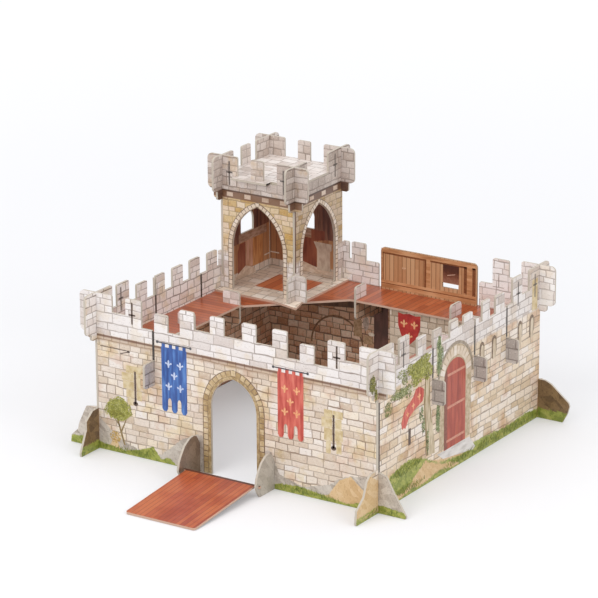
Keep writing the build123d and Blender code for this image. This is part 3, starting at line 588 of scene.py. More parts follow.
# %% Faces and sheets
PALE_SLOT, TOWER_SLOT, WOOD_SLOT = "pale_stone_card", "tower_stone_card", "wood_print_card"
X, Y, Z = Vector((1, 0, 0)), Vector((0, 1, 0)), Vector((0, 0, 1))
FACES = {
    "front": (Y * -214.6, X, -Y, PALE_SLOT), "right": (X * 226.6, Y, X, PALE_SLOT),
    "back inside": (Y * 211.4, X, -Y, PALE_SLOT), "left inside": (X * -223.4, Y, X, PALE_SLOT),
    "partition": (Y * 145.3, X, -Y, PALE_SLOT), "planks": (Y * 207.4, X, -Y, WOOD_SLOT),
    "tower front": (Y * 84.4, X, -Y, TOWER_SLOT), "tower right": (X * -96.0, Y, X, TOWER_SLOT),
    "tower left inside": (X * -218.0, Y, X, TOWER_SLOT),
    "tower back inside": (Y * 206.4, X, -Y, TOWER_SLOT),
    "roof tongue side": (X * -137.0, Y, X, TOWER_SLOT),
}
SUNK = 0.05


def on_face(face, u, v, rise=0.0):
    origin, along, outward, _ = FACES[face]
    return (origin + along * u + Z * v + outward * rise) * MM


def finish_piece(mesh, name, material, body="castle"):
    piece = bpy.data.objects.new(name, mesh)
    bpy.context.scene.collection.objects.link(piece)
    mesh.materials.append(material)
    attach(piece, body)
    return piece


def slab(form, low_points, high_points):
    low, high = ([form.verts.new(point) for point in points] for points in (low_points, high_points))
    form.faces.new(low[::-1])
    form.faces.new(high)
    for k in range(len(low)):
        n = (k + 1) % len(low)
        form.faces.new((low[k], low[n], high[n], high[k]))


def sheet(name, face, outlines, material, rise=0.2):
    form = bmesh.new()
    for outline in outlines:
        slab(form, *([on_face(face, u, v, level) for u, v in outline] for level in (-SUNK, rise)))
    bmesh.ops.recalc_face_normals(form, faces=form.faces[:])
    bmesh.ops.triangulate(form, faces=form.faces[:])
    mesh = bpy.data.meshes.new(name)
    form.to_mesh(mesh)
    form.free()
    return finish_piece(mesh, name, material)


def bar(u0, u1, v0, v1):
    return [(u0, v0), (u1, v0), (u1, v1), (u0, v1)]


def bars(*rows):
    return [bar(*row) for row in rows]


def arc(centre, across, rise, start=0.0, end=180.0, steps=14):
    turns = [math.radians(start + (end - start) * k / steps) for k in range(steps + 1)]
    return [(centre[0] + across * math.cos(t), centre[1] + rise * math.sin(t)) for t in turns]


print("faces:", len(FACES))

# %% [markdown]
# ## Ink finishes
# A flat colour would look like plastic. Printed ink is a little uneven, the banners have painted
# folds, and wood has grain. One helper makes an ink from two or three shades with a soft noise, and
# can stretch the noise up and down so that it reads as folds or grain.

# %% Inks
FIBRE_SCALE = 2200.0


def ink(name, codes, grain=(0.3, 0.3, 0.3), detail=4.0, attribute=None, fall=None):
    material, tree = new_material(name)
    where = add(tree, "TexCoord").outputs["Object"]
    place = add(tree, "Mapping", {0: where, 3: tuple(g / MM for g in grain)}).outputs[0]
    value = fade(noise(Flow(place), 1.0, detail, 0.55), 0.28, 0.72)
    if attribute:
        own = Flow(add(tree, "Attribute", attribute_name=attribute).outputs["Fac"])
        value = value * 0.35 + own * 0.65
    if fall:
        height = split(where, "SeparateXYZ")[2]
        value = value * 0.2 + fade(height, fall[0] * MM, fall[1] * MM) * 0.8
    fibre = noise(Flow(where), FIBRE_SCALE, 3.0)
    varnish(tree, shades(value, codes), fibre * 0.14 + 0.38, fibre, 0.05 * MM, 0.5)
    return material


dark_ink = ink("slit ink", ("3a2a22", "5a463a", "6d5a4c"))
grey_ink = ink("grey slit ink", ("5c544f", "736a64", "857b74"))
blue_ink = ink("blue banner cloth print", ("264889", "35599f", "4470b5", "5a86c8"), (0.22, 0.22, 0.03), 3.0)
red_ink = ink("red banner cloth print", ("a83a30", "c05044", "cf6152", "dc7866"), (0.22, 0.22, 0.03), 3.0)
pale_blue_ink = ink("pale blue lily print", ("b6c6e6", "d3ddf2"))
gold_ink = ink("gold lily print", ("e59a6a", "f0bc8a"))
rod_ink = ink("rod print", ("3b3a3c", "5c5a5c"))
yellow_stone_ink = ink("yellow stone print", ("c0a878", "d3bf94", "e0d0ae"), (0.12, 0.12, 0.12))
arch_stone_ink = ink("arch stone print", ("96794c", "b69a6c", "d2bc94", "ead9bc"), (0.2, 0.2, 0.2),
    attribute="shade")
mortar_ink = ink("arch mortar print", ("6d5641", "8a715a"))
print("inks ready")

# %% [markdown]
# ## Banners with lilies
# Two long banners hang from rods beside the gate. Each is one outline: loops over the rod at the top
# and three tails at the bottom. The small lilies are the traditional three-petal ornament: half of it
# is drawn once, mirrored, and placed five times on each banner.

# %% Banners
LILY_HALF = (
    (0.0, 0.56), (0.10, 0.42), (0.15, 0.24), (0.10, 0.06), (0.24, 0.10), (0.36, 0.22), (0.50, 0.16),
    (0.50, 0.0), (0.38, -0.06), (0.16, -0.08), (0.20, -0.18), (0.10, -0.24), (0.12, -0.46), (0.0, -0.54))
TAIL_SHARE, LOOP_SHARES, LILY_SIZE = 0.235, (0.09, 0.37, 0.63, 0.91), 10.5


def lily(centre, size):
    x, y = centre
    points = LILY_HALF + tuple((-px, py) for px, py in LILY_HALF[-2:0:-1])
    return [(x + px * size, y + py * size) for px, py in points]


def banner(name, face, left, right, top, bottom, cloth, lilies, places):
    width = right - left
    tail = width * TAIL_SHARE
    gap = (width - 3 * tail) / 2
    outline = [(left, top - 5.5)]
    for k in range(3):
        start = left + k * (tail + gap)
        outline += [(start + tail * share, bottom + drop)
                    for share, drop in ((0.02, 4), (0.25, 0), (0.75, 0), (0.98, 4))]
        if k < 2:
            outline += arc((start + tail + gap / 2, bottom + 14), gap / 2, 6.0, 180, 0, 8)
    outline += [(right, top - 5.5)]
    sheet(name, face, [outline], cloth, 0.22)
    loops = [bar(left + width * s - 2.6, left + width * s + 2.6, top - 6, top + 1) for s in LOOP_SHARES]
    sheet(name + "_loops", face, loops, cloth, 0.2)
    rod = [(left - 5, top - 0.8)] + arc((left - 6.5, top), 2.0, 2.0, 330, 30, 8) + [(left - 5, top + 0.8),
        (right + 5, top + 0.8)]
    rod += arc((right + 6.5, top), 2.0, 2.0, 150, -150, 8) + [(right + 5, top - 0.8)]
    sheet(name + "_rod", face, [rod], rod_ink, 0.3)
    sheet(name + "_lilies", face, [lily(place, LILY_SIZE) for place in places], lilies, 0.32)


banner("blue_banner", "front", -116.4, -75.2, 173.0, 76.0, blue_ink, pale_blue_ink,
       [(-104.9, 144.5), (-85.9, 144.5), (-95.6, 129), (-104.9, 112.5), (-85.9, 112.5)])
banner("red_banner", "front", 70.4, 111.2, 172.5, 76.0, red_ink, gold_ink,
       [(81.6, 145), (100.6, 145), (90.4, 128), (81.6, 113), (100.6, 113)])
print("banners hang on the front wall")

# %% [markdown]
# ## Slits, and stones that frame them
# Arrow slits are dark slots with a round foot; the merlons have small cross-shaped ones. A few big
# yellow stones frame the arrow slits. Where a card from inside is pushed through a wall, a thin dark
# sheet over its slot is painted shadow. Two corners of the castle get a painted shadow line, and the
# tongue of the tower roof gets painted shade on its side and a painted shadow on the parapet under it.

# %% Slits
def cross(centre, low, high, bar_level, reach=5.5, half=1.3):
    return bars((centre - half, centre + half, low, high), (centre - reach, centre + reach, bar_level - 1.2,
        bar_level + 1.2))


def arrow_slit(centre, low, high):
    return [bar(centre - 1.5, centre + 1.5, low + 2, high), arc((centre, low + 2.6), 4.0, 3.2, 0, 345, 15)]


sheet("front_slit_frames", "front", bars((-176, -163.2, 119.4, 130), (-162.6, -150, 119.4, 130),
    (-183, -163.2, 108, 118.8), (-181, -163.2, 96, 107.4), (-158.4, -152, 96, 118.8),
    (-176, -163.2, 84, 95.4), (-158.4, -150, 82, 95.4), (-174, -164, 73, 83.4), (143, 156.2, 118.6, 129),
    (156.8, 172, 118.6, 129), (139, 155.4, 104, 118), (160.2, 170, 104, 118), (143, 155.4, 86, 103.4),
    (160.2, 172, 88, 103.4), (146, 153.4, 68, 85.4), (162, 170, 70, 87.4)), yellow_stone_ink, 0.12)
sheet("front_arrow_slits", "front", arrow_slit(-160.8, 74, 123) + arrow_slit(157.8, 74, 123), dark_ink)
sheet("front_cross_slits", "front", cross(-163.9, 190, 221, 203) + cross(162.8, 188, 219, 203), dark_ink)
sheet("right_cross_slits", "right", cross(-152.6, 183, 218, 201) + cross(151.4, 182, 217, 200)
    + cross(198.6, 182, 215, 200), grey_ink)
sheet("tower_front_cross_slits", "tower front", cross(-206.0, 305, 340, 324) + cross(-114.4, 305, 340, 324),
    grey_ink)
sheet("tower_right_cross_slits", "tower right", cross(190.4, 308, 342, 326), grey_ink)
sheet("left_inner_slit", "left inside", cross(-157.6, 183, 217, 201), grey_ink)
faint_ink = ink("faint slit print", ("8d807a", "a3968f", "b5aaa3"))
sheet("back_inner_marks", "back inside", bars((161.2, 162.4, 181, 200), (152, 170, 180.6, 181.4),
    (157.5, 166.5, 200.4, 201.6)), faint_ink)
# Painted shadow: dark sheets over the bracket slots, on and under the roof tongue, and at two corners.
slot_ink = ink("slot shadow print", ("2a211b", "3a3029", "4c423a"))
sheet("front_bracket_slot_shadow", "front", [bar(-131.2, -127.6, 145.5, 186.5)], slot_ink, 0.12)
sheet("right_bracket_slot_shadows", "right", bars((-79.4, -75.8, 146.5, 187.5), (31.1, 34.7, 146.5, 187.5),
    (118.6, 122.2, 146.5, 187.5)), slot_ink, 0.12)
sheet("left_inner_slot_shadows", "left inside", bars((-77.4, -73.8, 148.6, 182.5),
    (34.1, 37.7, 148.6, 182.5)), slot_ink, 0.12)
sheet("roof_tongue_side_shadow", "roof tongue side", [bar(74.2, 84.2, 316.6, 319.2)], slot_ink, 0.1)
sheet("roof_tongue_front_shadow", "tower front", [[(-195, 316.0), (-137.5, 316.0), (-141, 311.6),
    (-160, 312.4), (-192, 312.8)]], ink("tongue shadow print", ("a2938a", "b3a59c")), 0.08)
sheet("right_hook_stones", "right", [bar(191, 206, 163, 208)], yellow_stone_ink, 0.1)
sheet("front_right_corner_shadow", "right", [bar(-214.5, -211.3, 54, 153)],
    ink("corner shadow print", ("2c2622", "41372f", "54483f")), 0.1)
sheet("tower_corner_shadow", "tower right", [bar(84.6, 87.3, 192, 288)],
    ink("tower corner shadow print", ("583e33", "745647")), 0.1)
print("slits cut")

# %% [markdown]
# ## Arch stones, made with Geometry Nodes
# Wedge stones run round the gate, the door and the tower's two arches. They follow a path, so one node
# tree makes them all: it resamples the path, puts a block at each point, turns it to the path and
# gives each block its own tone. The path lies on the face, and the block's size is a named input.

# %% Tree for blocks along a path
def geometry_tree(name, kinds):
    tree = bpy.data.node_groups.new(name, "GeometryNodeTree")
    for socket_name, kind in (("Geometry", "Geometry"),) + kinds:
        tree.interface.new_socket(socket_name, in_out="INPUT", socket_type="NodeSocket" + kind)
    tree.interface.new_socket("Geometry", in_out="OUTPUT", socket_type="NodeSocketGeometry")
    return tree, add(tree, "NodeGroupInput").outputs


def chance(tree, low, high, seed):
    inputs = {2: low, 3: high, "Seed": seed}
    return Flow(add(tree, "FunctionNodeRandomValue", inputs, data_type="FLOAT").outputs[1])


def aligned(tree, vector, axis, pivot="AUTO", rotation=None):
    inputs = {"Vector": vector}
    if rotation is not None:
        inputs["Rotation"] = rotation
    return add(tree, "FunctionNodeAlignRotationToVector", inputs, axis=axis, pivot_axis=pivot).outputs[0]


def paint_copies(tree, copies, tone, finish):
    kept = add(tree, "GeometryNodeStoreNamedAttribute", {"Geometry": copies, "Name": "shade", "Value": tone},
               data_type="FLOAT", domain="INSTANCE").outputs[0]
    solid = add(tree, "GeometryNodeRealizeInstances", {0: kept}).outputs[0]
    final = add(tree, "GeometryNodeSetMaterial", {"Geometry": solid, "Material": finish}).outputs[0]
    add(tree, "NodeGroupOutput", {0: final})


def block_path_tree():
    kinds = (("Spacing", "Float"), ("Block Size", "Vector"), ("Outward", "Vector"), ("Seed", "Int"),
             ("Finish", "Material"))
    tree, given = geometry_tree("blocks along a path", kinds)
    line = add(tree, "GeometryNodeMeshToCurve", {0: given["Geometry"]}).outputs[0]
    even = add(tree, "GeometryNodeResampleCurve", {"Curve": line, "Length": given["Spacing"]},
               mode="LENGTH").outputs[0]
    block = add(tree, "GeometryNodeMeshCube", {"Size": given["Block Size"]}).outputs[0]
    stand = aligned(tree, given["Outward"], "Z")
    turn = aligned(tree, add(tree, "GeometryNodeInputTangent").outputs[0], "X", "Z", stand)
    vary = add(tree, "FunctionNodeRandomValue", {0: (0.9, 0.8, 1.0), 1: (1.0, 1.0, 1.0),
        "Seed": given["Seed"]}, data_type="FLOAT_VECTOR").outputs[0]
    placed = add(tree, "GeometryNodeInstanceOnPoints",
                 {"Points": even, "Instance": block, "Rotation": turn, "Scale": vary}).outputs[0]
    paint_copies(tree, placed, chance(tree, 0.0, 1.0, given["Seed"]), given["Finish"])
    return tree


def grow(name, start_mesh, tree, values):
    source = bpy.data.objects.new(name + "_source", start_mesh)
    bpy.context.scene.collection.objects.link(source)
    change = source.modifiers.new("nodes", "NODES")
    change.node_group = tree
    for item in tree.interface.items_tree:
        if getattr(item, "in_out", "") == "INPUT" and item.name in values:
            change[item.identifier] = values[item.name]
    graph = bpy.context.evaluated_depsgraph_get()
    graph.update()
    mesh = bpy.data.meshes.new_from_object(source.evaluated_get(graph))
    bpy.data.objects.remove(source)
    mesh.name = name
    mesh.materials.clear()
    print(name, "has", len(mesh.polygons), "faces")
    return finish_piece(mesh, name, values["Finish"])


BLOCK_PATH = block_path_tree()


def path_mesh(face, points, rise=0.1):
    mesh = bpy.data.meshes.new("path")
    mesh.from_pydata([on_face(face, u, v, rise) for u, v in points],
                     [(k, k + 1) for k in range(len(points) - 1)], [])
    return mesh


def arch_stones(name, face, points, spacing, across, thick, material, seed, long=None):
    values = {"Spacing": spacing * MM,
              "Block Size": ((long or spacing - 0.7) * MM, across * MM, thick * MM),
              "Outward": tuple(FACES[face][2]), "Seed": seed, "Finish": material}
    return grow(name, path_mesh(face, points), BLOCK_PATH, values)


# %% [markdown]
# ## The arches
# The gate's arch is pointed: each side is part of a circle whose centre lies past the middle line. A
# form holds the middle, the level where the arch springs, the centre's offset, the radius and the
# foot of the ring. A darker sheet lies under the stones as mortar, and the gate has a plain inner band.

# %% Arch stones
def pointed(centre, half, spring, offset, radius, band, low):
    bigger = radius + band
    top = math.sqrt(bigger ** 2 - offset ** 2)
    points = [(centre - half - band, low)]
    for k in range(21):
        y = spring + top * k / 20
        x = math.sqrt(max(bigger ** 2 - (y - spring) ** 2, 0)) - offset
        points.append((centre - x, y))
    return points + [(2 * centre - x, y) for x, y in points[-2::-1]]


def arch_ring(name, face, form, inner, outer, material, rise):
    outside = pointed(*form[:5], outer, form[5])
    inside = pointed(*form[:5], inner, form[5])
    sheet(name, face, [outside + inside[::-1]], material, rise)


RING = 12.5
TOWER_ARCHES = (("tower_front", "tower front", -159.2), ("tower_right", "tower right", 147.6))
TOWER_CORBELS = (("tower_front", -205.4, -115.0, 30.1, 7), ("tower_right", 97.5, 190.6, 31.0, 8))
CORBEL_LEVEL = 291.8
GATE_FORM = (0.0, 36.5, 97.98, 8.3, 44.8, 1.0)
arch_ring("gate_arch_mortar", "front", GATE_FORM, 0.3, RING + 0.8, mortar_ink, 0.12)
arch_ring("gate_arch_band", "front", GATE_FORM, 0.3, 4.6, ink("arch band print",
    ("94794e", "ae9468", "c6b088"), (0.25, 0.25, 0.25)), 0.3)
arch_stones("gate_arch_stones", "front", pointed(*GATE_FORM[:5], 8.7, 4.0), 8.0, 7.6, 0.5, arch_stone_ink, 1)
pale_arch_ink = ink("pale arch stone print", ("cdb79c", "e0cfba", "efe5da"), (0.2, 0.2, 0.2),
    attribute="shade")
for name, face, centre in TOWER_ARCHES:
    form = (centre, 42.6, 215.0, 26.2, 68.8, 152.0)
    arch_ring(name + "_arch_mortar", face, form, 0.2, 7.6, mortar_ink, 0.1)
    arch_stones(name + "_arch_stones", face, pointed(*form[:5], 3.8, 154.5), 6.6, 6.0, 0.4, pale_arch_ink, 5)
corbel_ink = ink("corbel block print", ("b89c84", "d2bba6", "e2d0bd"), (0.2, 0.2, 0.2), attribute="shade")
for name, start, end, spacing, seed in TOWER_CORBELS:
    arch_stones(name + "_corbel_blocks", name.replace("_", " "), [(start, CORBEL_LEVEL), (end, CORBEL_LEVEL)],
        spacing, 6.4, 0.5, corbel_ink, seed, 11.0)
print("arch stones laid")

# %% [markdown]
# ## The red door
# On the right wall a round-headed red door is printed, with three light straps and a ring of pale
# stones. It is drawn as a set of outlines: boards first, then the straps on top. All of them are
# measured from the middle of the door.

# %% Door
DOOR, HALF_DOOR, SPRING, HEAD = -19.1, 28, 132, 25
STRAP_LEVELS = ((-20, 135.5, 139), (-20, 89.5, 93), (-22, 42, 45.5))
door_ink = ink("door boards print", ("953c2c", "a84a38", "b75742", "b05238"), (0.12, 0.12, 0.02), 3.0)
door_strap_ink = ink("door strap print", ("c47f68", "d39a82"))
step_ink = ink("door step print", ("c4bdb6", "dcd6d0", "e8e3de"), (0.05, 0.05, 0.15))
hood_ink = ink("door hood print", ("877764", "9d8d79", "b0a18c"))
door_outline = [(DOOR - HALF_DOOR, 32.5), (DOOR + HALF_DOOR, 32.5)] + arc((DOOR, SPRING), HALF_DOOR, HEAD, 0,
    180, 18)
sheet("door_surround", "right", [[(DOOR - 40, 36), (DOOR + 40, 36)] + arc((DOOR, 128), 44, 48, 0, 180, 20)],
    ink("door surround print", ("a89272", "bea98a", "d2c1a6"), (0.15, 0.15, 0.15)), 0.1)
sheet("door_boards", "right", [door_outline], door_ink, 0.25)
sheet("door_straps", "right", [bar(DOOR + start, DOOR + 26, low, high) for start, low, high in STRAP_LEVELS],
    door_strap_ink, 0.35)
sheet("door_gaps", "right", [bar(DOOR + x - 0.35, DOOR + x + 0.35, 33, 148 - abs(x) * 0.5)
    for x in (-19, -9.5, 0, 9.5, 19)], ink("door gap print", ("8a3d30", "98483a")), 0.3)
sheet("door_shade", "right", [[(DOOR - HALF_DOOR, 34), (DOOR - 20.5, 34), (DOOR - 20.5, 140)]
    + arc((DOOR, SPRING), HALF_DOOR, HEAD, 140, 180, 6)], ink("door shade print", ("7a4232", "8f5442")), 0.3)
sheet("door_step", "right", [[(DOOR - 46, 33), (DOOR - 30, 22), (DOOR + 50, 10), (DOOR + 56, 13),
    (DOOR + 40, 32)]], step_ink, 0.2)
arch_stones("door_arch_stones", "right", arc((DOOR, 128), 36.5, 39, 180, 0, 40), 8.2, 14.0, 0.5,
    pale_arch_ink, 9)
sheet("door_hood", "right", [arc((DOOR + 1, 128), 47.5, 52, 0, 180, 24)
    + arc((DOOR + 1, 128), 43.5, 48, 180, 0, 24)], hood_ink, 0.42)
print("door printed")

# %% [markdown]
# ## Leaves and grass, scattered with Geometry Nodes
# A tree, ivy and tufts of grass are printed on the walls. Hundreds of small leaves would be tedious to
# draw, so a second node tree scatters one leaf over a rough outline: it spreads points with a least
# distance, turns and sizes each leaf at random, lifts it by a hair so that leaves overlap cleanly, and
# stores a random shade. The leaf and the outline are inputs, so the same tree also makes the grass.

# %% Tree for scattering a motif
def scatter_tree():
    kinds = (("Motif", "Object"), ("Distance", "Float"), ("Density", "Float"), ("Smallest", "Float"),
        ("Largest", "Float"), ("Turn", "Float"), ("Outward", "Vector"), ("Lift", "Float"), ("Seed", "Int"),
        ("Finish", "Material"))
    tree, given = geometry_tree("scatter on a face", kinds)
    spots = add(tree, "GeometryNodeDistributePointsOnFaces", {"Mesh": given["Geometry"],
        "Distance Min": given["Distance"], "Density Max": given["Density"], "Seed": given["Seed"]},
        distribute_method="POISSON").outputs[0]
    lift = chance(tree, 0.0, given["Lift"], given["Seed"])
    shift = add(tree, "VectorMath", {0: given["Outward"], 3: lift}, operation="SCALE").outputs[0]
    moved = add(tree, "GeometryNodeSetPosition", {"Geometry": spots, "Offset": shift}).outputs[0]
    motif = add(tree, "GeometryNodeObjectInfo", {"Object": given["Motif"]}, transform_space="ORIGINAL")
    upright = aligned(tree, (0, 0, 1), "Y", "Z", aligned(tree, given["Outward"], "Z"))
    turn = chance(tree, Flow(given["Turn"]) * -1.0, given["Turn"], 11)
    euler = add(tree, "FunctionNodeEulerToRotation", {0: triple(0.0, 0.0, turn)}).outputs[0]
    turned = add(tree, "FunctionNodeRotateRotation", {"Rotation": upright, "Rotate By": euler},
                 rotation_space="LOCAL").outputs[0]
    size = chance(tree, given["Smallest"], given["Largest"], 5)
    placed = add(tree, "GeometryNodeInstanceOnPoints",
                 {"Points": moved, "Instance": motif.outputs["Geometry"], "Rotation": turned, "Scale": size})
    paint_copies(tree, placed.outputs[0], chance(tree, 0.0, 1.0, 9), given["Finish"])
    return tree


SCATTER = scatter_tree()


def motif(name, outline, thick=0.12):
    form = bmesh.new()
    slab(form, *([(x * MM, y * MM, level * MM) for x, y in outline] for level in (0.0, thick)))
    mesh = bpy.data.meshes.new(name)
    form.to_mesh(mesh)
    form.free()
    return bpy.data.objects.new(name, mesh)


LEAF = motif("leaf", [(0, -1.0), (0.45, -0.45), (0.5, 0.1), (0, 1.1), (-0.5, 0.1), (-0.45, -0.45)])
BLADE = motif("blade", [(-0.18, -1.0), (0.18, -1.0), (0.14, 0.0), (0.02, 1.2), (-0.1, 0.1)])
print("leaf and blade drawn")

# %% [markdown]
# ## Blobs, patches and greens
# A blob is a rough round outline. A few of them make a crown or a clump of ivy, and long flat outlines
# hold the grass. Under the leaves lies a thin wash of the same green, so that no bare wall shows
# between them. Trunks are plain outlines again.

# %% Leaf helpers and greens
LEAST_LIFT, MOST_LIFT = 0.1, 0.45
WAVES = 16


def patch(face, outlines, rise=LEAST_LIFT):
    points, faces = [], []
    for outline in outlines:
        faces.append(list(range(len(points), len(points) + len(outline))))
        points += [on_face(face, u, v, rise) for u, v in outline]
    mesh = bpy.data.meshes.new("patch")
    mesh.from_pydata(points, [], faces)
    return mesh


def blob(u, v, across, high, seed=1, wobble=0.18):
    rng = random.Random(seed)
    reach = [1 + rng.uniform(-wobble, wobble) for _ in range(WAVES)]
    turns = [math.tau * k / WAVES for k in range(WAVES)]
    return [(u + across * r * math.cos(t), v + high * r * math.sin(t)) for r, t in zip(reach, turns)]


def leaves(name, face, outlines, material, spacing=1.7, smallest=1.2, largest=2.3, turn=3.1, what=None,
        seed=1):
    values = {"Motif": what or LEAF, "Distance": spacing * MM, "Density": 4.0e6 / spacing ** 2,
        "Smallest": smallest, "Largest": largest, "Turn": turn, "Outward": tuple(FACES[face][2]),
        "Lift": MOST_LIFT * MM, "Seed": seed, "Finish": material}
    return grow(name, patch(face, outlines), SCATTER, values)


olive_ink = ink("tree leaf print", ("5b5c1c", "87872f", "aaa84a", "c9c672"), attribute="shade")
ivy_ink = ink("ivy leaf print", ("4a5226", "6f763a", "969858", "b9b682"), attribute="shade")
dark_ivy_ink = ink("dark ivy leaf print", ("3c4a26", "5c6e3c", "84935c", "a8b088"), attribute="shade")
olive_dark_ink = ink("dark olive leaf print", ("3f4218", "67672a", "8f8c48", "b0ab6c"), attribute="shade")
ochre_ink = ink("dry bush print", ("a5803c", "c8a45c", "dcc080"), attribute="shade")
grass_ink = ink("grass blade print", ("4b5c1c", "76832e", "9aa044", "c2ba62"), attribute="shade")
bark_ink = ink("bark print", ("6e5a34", "8c754a", "a8946a"), (0.3, 0.3, 0.1))
pale_bark_ink = ink("pale bark print", ("b09c7c", "c9b797", "ddceb2"), (0.25, 0.25, 0.05))
olive_wash_ink = ink("olive wash print", ("8a8a44", "aaa860", "c4c088"), (0.25, 0.25, 0.25))
ivy_wash_ink = ink("ivy wash print", ("8c9060", "aaab7e", "c6c4a2"), (0.25, 0.25, 0.25))
print("greens mixed")

# %% [markdown]
# ## The small tree at the front
# Four blobs of leaves on a forked trunk, with a dry bush at its foot.

# %% Front tree
tree_places = [blob(-200, 60, 13, 11, 2), blob(-189, 70, 15, 12, 3), blob(-178, 64, 11, 13, 4),
    blob(-190, 57, 16, 11, 5)]
sheet("front_tree_wash", "front", [blob(-190, 63, 19, 16, 31, 0.12)], olive_wash_ink, 0.08)
leaves("front_tree_leaves", "front", tree_places, olive_ink, 1.25, 0.8, 1.5)
sheet("front_tree_shade", "front", [blob(-194, 57, 13, 4, 47, 0.3)],
    ink("tree shade print", ("6a6620", "85822e")), 0.5)
sheet("front_tree_trunk", "front", [[(-193, 50), (-190.6, 50), (-184.5, 30), (-179, 13), (-182, 13),
    (-187.5, 30)], [(-186, 34), (-178, 50), (-177, 49.5), (-184.6, 31)],
    [(-188.5, 38), (-197, 49), (-196.2, 49.6), (-187.8, 40)]], bark_ink, 0.2)
leaves("front_dry_bush", "front", [blob(-196, 22, 8, 8, 6)], ochre_ink, 2.0)
print("front tree planted")

# %% [markdown]
# ## Tree and ivy on the right wall
# A crown beside the parapet, wisps to its left, and a column of ivy that hangs down beside the trunk.

# %% Right tree and ivy
crown = [blob(-112, 168, 25, 14, 7, 0.15), blob(-98, 178, 14, 8, 8), blob(-92, 160, 14, 11, 9),
    blob(-118, 156, 13, 8, 32), blob(-134, 175, 10, 7, 33)]
wisps = [blob(-156, 175, 13, 5, 10, 0.3), blob(-150, 164, 7, 6, 34, 0.3), blob(-160, 149, 22, 7, 35, 0.25),
    blob(-141, 146, 8, 8, 36, 0.3), blob(-191, 136, 9, 9, 37, 0.3)]
column = [blob(-62, 190, 5, 10, 11, 0.25), blob(-57, 172, 6, 12, 12, 0.3), blob(-62, 155, 8, 11, 38, 0.25),
    blob(-64, 84, 5, 20, 13, 0.25), blob(-62, 104, 4, 8, 39, 0.3)]
hanging = [blob(-107, 104, 4, 9, 14, 0.3), blob(-101, 86, 4, 10, 40, 0.3), blob(-90, 60, 3, 14, 41, 0.3)]
sheet("right_crown_wash", "right", [blob(-110, 168, 26, 14, 42, 0.15)], olive_wash_ink, 0.08)
sheet("right_ivy_wash", "right", [blob(-61, 172, 7, 27, 43, 0.18), blob(-64, 88, 4.5, 22, 44, 0.2),
    blob(-158, 149, 20, 6, 45, 0.25)], ivy_wash_ink, 0.06)
leaves("right_crown_leaves", "right", crown, olive_ink, 1.5, 1.0, 2.0, seed=3)
leaves("right_wisp_leaves", "right", wisps, ivy_ink, 1.9, 1.0, 2.1, seed=4)
leaves("right_column_leaves", "right", column + hanging, dark_ivy_ink, 1.8, 1.0, 2.0, seed=5)
leaves("corner_ivy_leaves", "right", [blob(-229, 182, 6.5, 12, 15), blob(-221.5, 166, 3.2, 8, 46, 0.2),
    blob(-205, 168, 6, 5, 16)], olive_dark_ink, 1.3, 1.0, 2.0, seed=6)
sheet("right_trunk", "right", [[(-96, 152), (-84, 149), (-84.5, 118), (-76, 76), (-70, 38), (-93, 40),
    (-96.5, 78), (-101, 112)]], pale_bark_ink, 0.1)
sheet("right_trunk_shade", "right", [[(-100, 112), (-97, 152), (-95, 152), (-97, 112), (-92.6, 78), (-88, 40),
    (-93, 40), (-96.5, 78)], [(-86, 150), (-84.6, 150), (-85.6, 118), (-80, 84), (-81.4, 84), (-87, 118)]],
    bark_ink, 0.16)
print("right wall is overgrown")

# %% [markdown]
# ## Grass
# The blades grow on long flat outlines near the ground.

# %% Grass
strips = [[(-258, 4), (-228, 4), (-228, 10), (-250, 10)], [(-226, 4), (-140, 4), (-128, 14), (-150, 11),
    (-200, 7), (-224, 10)], [(66, 4), (170, 4), (150, 8), (100, 11), (80, 10)],
    [(196, 4), (252, 4), (230, 9)]]
leaves("front_grass", "front", strips, grass_ink, 2.2, 1.6, 3.2, 0.7, BLADE, 7)
strips = [[(-240, 4), (-218, 4), (-218, 9)], [(-186, 38), (-160, 34), (-120, 36), (-104, 42), (-128, 47),
    (-160, 46)], [(30, 4), (244, 4), (236, 9), (150, 12), (60, 15)],
    [(-190, 14), (-150, 6), (-110, 8), (-96, 12), (-140, 16)], [(-60, 8), (-24, 6), (20, 5), (28, 14),
    (-10, 12)]]
leaves("right_grass", "right", strips, grass_ink, 2.4, 1.6, 3.2, 0.8, BLADE, 8)
print("grass sown")

# %% [markdown]
# ## Pennant, blind windows, shield and courtyard
# The rest of the right wall and the courtyard is again cut as outlines: a waving red pennant, four blind
# windows with dark heads, a slit, and the red shield under the walkway. On the brown wall inside there
# are a low arch, a niche, a few warm stones and a lamp, and above the lamp a dark band is the walkway's
# painted shadow.

# %% Pictures on the other walls
WINDOW_MIDDLES = (52.6, 86.0, 157.6, 190.6)
SHIELD = 55.6
sheet("red_pennant", "right", [[(-157.6, 106), (-155, 97), (-151, 99), (-148, 96), (-142, 104), (-138.6, 109),
    (-130, 113), (-122.8, 116.5), (-112, 119.5), (-103.6, 122), (-100.8, 130), (-101, 138), (-107, 142),
    (-113.5, 144.6), (-121, 143), (-127, 135), (-134, 130), (-143, 126), (-151, 120)]], red_ink, 0.35)
sheet("pennant_lilies", "right", [lily((-113, 131), 9), lily((-128, 122.5), 8), lily((-142, 114.5), 7)],
    gold_ink, 0.42)
sheet("right_slit", "right", [bar(-139.4, -133.6, 70, 93)], dark_ink)
niche_dark_ink = ink("window head print", ("5c4838", "7d6650", "9a8468"))
niche_ink = ink("window stone print", ("bda88c", "d0bda2", "e0d0b8"), (0.15, 0.15, 0.05))
windows, niches = [], []
for middle in WINDOW_MIDDLES:
    windows.append([(middle - 6.5, 127), (middle - 2.0, 125), (middle + 6.5, 134)]
        + arc((middle, 150), 6.5, 8.5))
    niches.append([(middle - 3.0, 124), (middle + 5.0, 126)] + arc((middle + 1.0, 146), 4.0, 7.5))
sheet("right_window_heads", "right", windows, niche_dark_ink, 0.15)
sheet("right_window_stones", "right", niches, niche_ink, 0.25)
